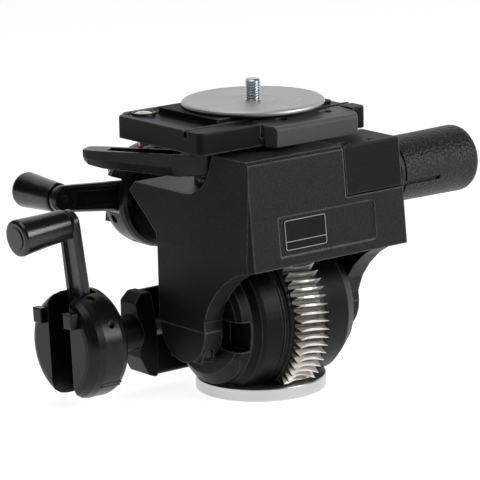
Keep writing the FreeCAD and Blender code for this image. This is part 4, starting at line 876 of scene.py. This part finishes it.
def studio_floor(tone, glow):
    """A floor that curves up into a backdrop behind the object."""
    bend_at = BACKDROP_AT - BACKDROP_BEND
    angles = [math.radians(90.0 * step / BEND_STEPS) for step in range(1, BEND_STEPS + 1)]
    bend = [(bend_at + BACKDROP_BEND * math.sin(a), BACKDROP_BEND - BACKDROP_BEND * math.cos(a))
            for a in angles]
    rise = [(FLOOR_FRONT, 0.0), (bend_at, 0.0), *bend, (BACKDROP_AT, BACKDROP_H)]
    turn = Matrix.Rotation(math.radians(BACKDROP_TURN), 4, "Z")
    points = [turn @ Vector((across, along, up)) for along, up in rise
              for across in (-FLOOR_HALF_W, FLOOR_HALF_W)]
    faces = [(2 * k, 2 * k + 1, 2 * k + 3, 2 * k + 2) for k in range(len(rise) - 1)]
    mesh = bpy.data.meshes.new("studio_floor")
    mesh.from_pydata([tuple(p) for p in points], [], faces)
    for face in mesh.polygons:
        face.use_smooth = True
    mesh.materials.append(backdrop_material(tone, glow))
    floor = bpy.data.objects.new("studio_floor", mesh)
    bpy.context.scene.collection.objects.link(floor)


def studio_sky(strength):
    """Even pale light; pure white where the camera sees it, itself or through something clear."""
    world = bpy.data.worlds.new("studio_sky")
    graph = Graph(world)
    path = graph.node("ShaderNodeLightPath", {}, [], None)
    camera, through = [Value(graph, path.outputs[name]) for name in ("Is Camera Ray", "Is Transmission Ray")]
    glow = camera.math("MAXIMUM", through) * (1.0 - strength) + strength
    light = graph.node("ShaderNodeBackground", {}, {"Color": WHITE, "Strength": glow})
    graph.node("ShaderNodeOutputWorld", {}, {"Surface": light}, None)
    bpy.context.scene.world = world


def studio_camera(lens):
    """A long lens, a little above the object on its pan crank side."""
    view = bpy.data.cameras.new("studio_camera")
    view.lens = lens
    view.sensor_width = SENSOR_W
    view.clip_start, view.clip_end = CAMERA_REACH
    camera = bpy.data.objects.new("studio_camera", view)
    camera.location = CAMERA_PLACE
    camera.rotation_euler = Euler([math.radians(angle) for angle in CAMERA_TURN])
    bpy.context.scene.collection.objects.link(camera)
    bpy.context.scene.camera = camera


class HEAD_OT_studio(bpy.types.Operator):
    """Sets up the floor, the lamps, the sky and the camera"""
    bl_idname = "head.studio"
    bl_label = "Studio"

    def execute(self, context):
        studio = context.scene.head_studio
        studio_floor(context.scene.head_colours.floor, studio.glow)
        studio_sky(studio.sky)
        soft_lamp("key_lamp", *KEY_LAMP, studio.key_power)
        soft_lamp("top_lamp", *TOP_LAMP, studio.top_power)
        soft_lamp("side_lamp", *SIDE_LAMP, studio.side_power)
        studio_camera(studio.lens)
        context.scene.view_settings.view_transform = "Standard"
        return {"FINISHED"}


# ---------------------------------------------------------------- panel and registration

OPERATORS = (HEAD_OT_castings, HEAD_OT_platform, HEAD_OT_discs, HEAD_OT_gears, HEAD_OT_cranks,
             HEAD_OT_side_grip, HEAD_OT_lever, HEAD_OT_fasteners, HEAD_OT_level,
             HEAD_OT_camera_thread, HEAD_OT_label_plate, HEAD_OT_rim_marks, HEAD_OT_studio)


class HEAD_PT_panel(bpy.types.Panel):
    """Lists the tripod head's pieces and their settings"""
    bl_label = "Tripod head"
    bl_idname = "HEAD_PT_panel"
    bl_space_type = "VIEW_3D"
    bl_region_type = "UI"
    bl_category = "Tripod head"

    def draw(self, context):
        layout = self.layout
        for group in (context.scene.head_colours, context.scene.head_sizes, context.scene.head_studio):
            for name in group.__annotations__:
                layout.prop(group, name)
        for operator in OPERATORS:
            layout.operator(operator.bl_idname)


GROUPS = (("head_colours", HeadColours), ("head_sizes", HeadSizes), ("head_studio", StudioSettings))


def register():
    for name, group in GROUPS:
        bpy.utils.register_class(group)
        setattr(bpy.types.Scene, name, PointerProperty(type=group))
    for operator in (*OPERATORS, HEAD_PT_panel):
        bpy.utils.register_class(operator)


def unregister():
    for operator in reversed((*OPERATORS, HEAD_PT_panel)):
        bpy.utils.unregister_class(operator)
    for name, group in reversed(GROUPS):
        delattr(bpy.types.Scene, name)
        bpy.utils.unregister_class(group)


def main():
    register()
    for operator in OPERATORS:
        group, name = operator.bl_idname.split(".")
        getattr(getattr(bpy.ops, group), name)()


if __name__ == "__main__":
    main()
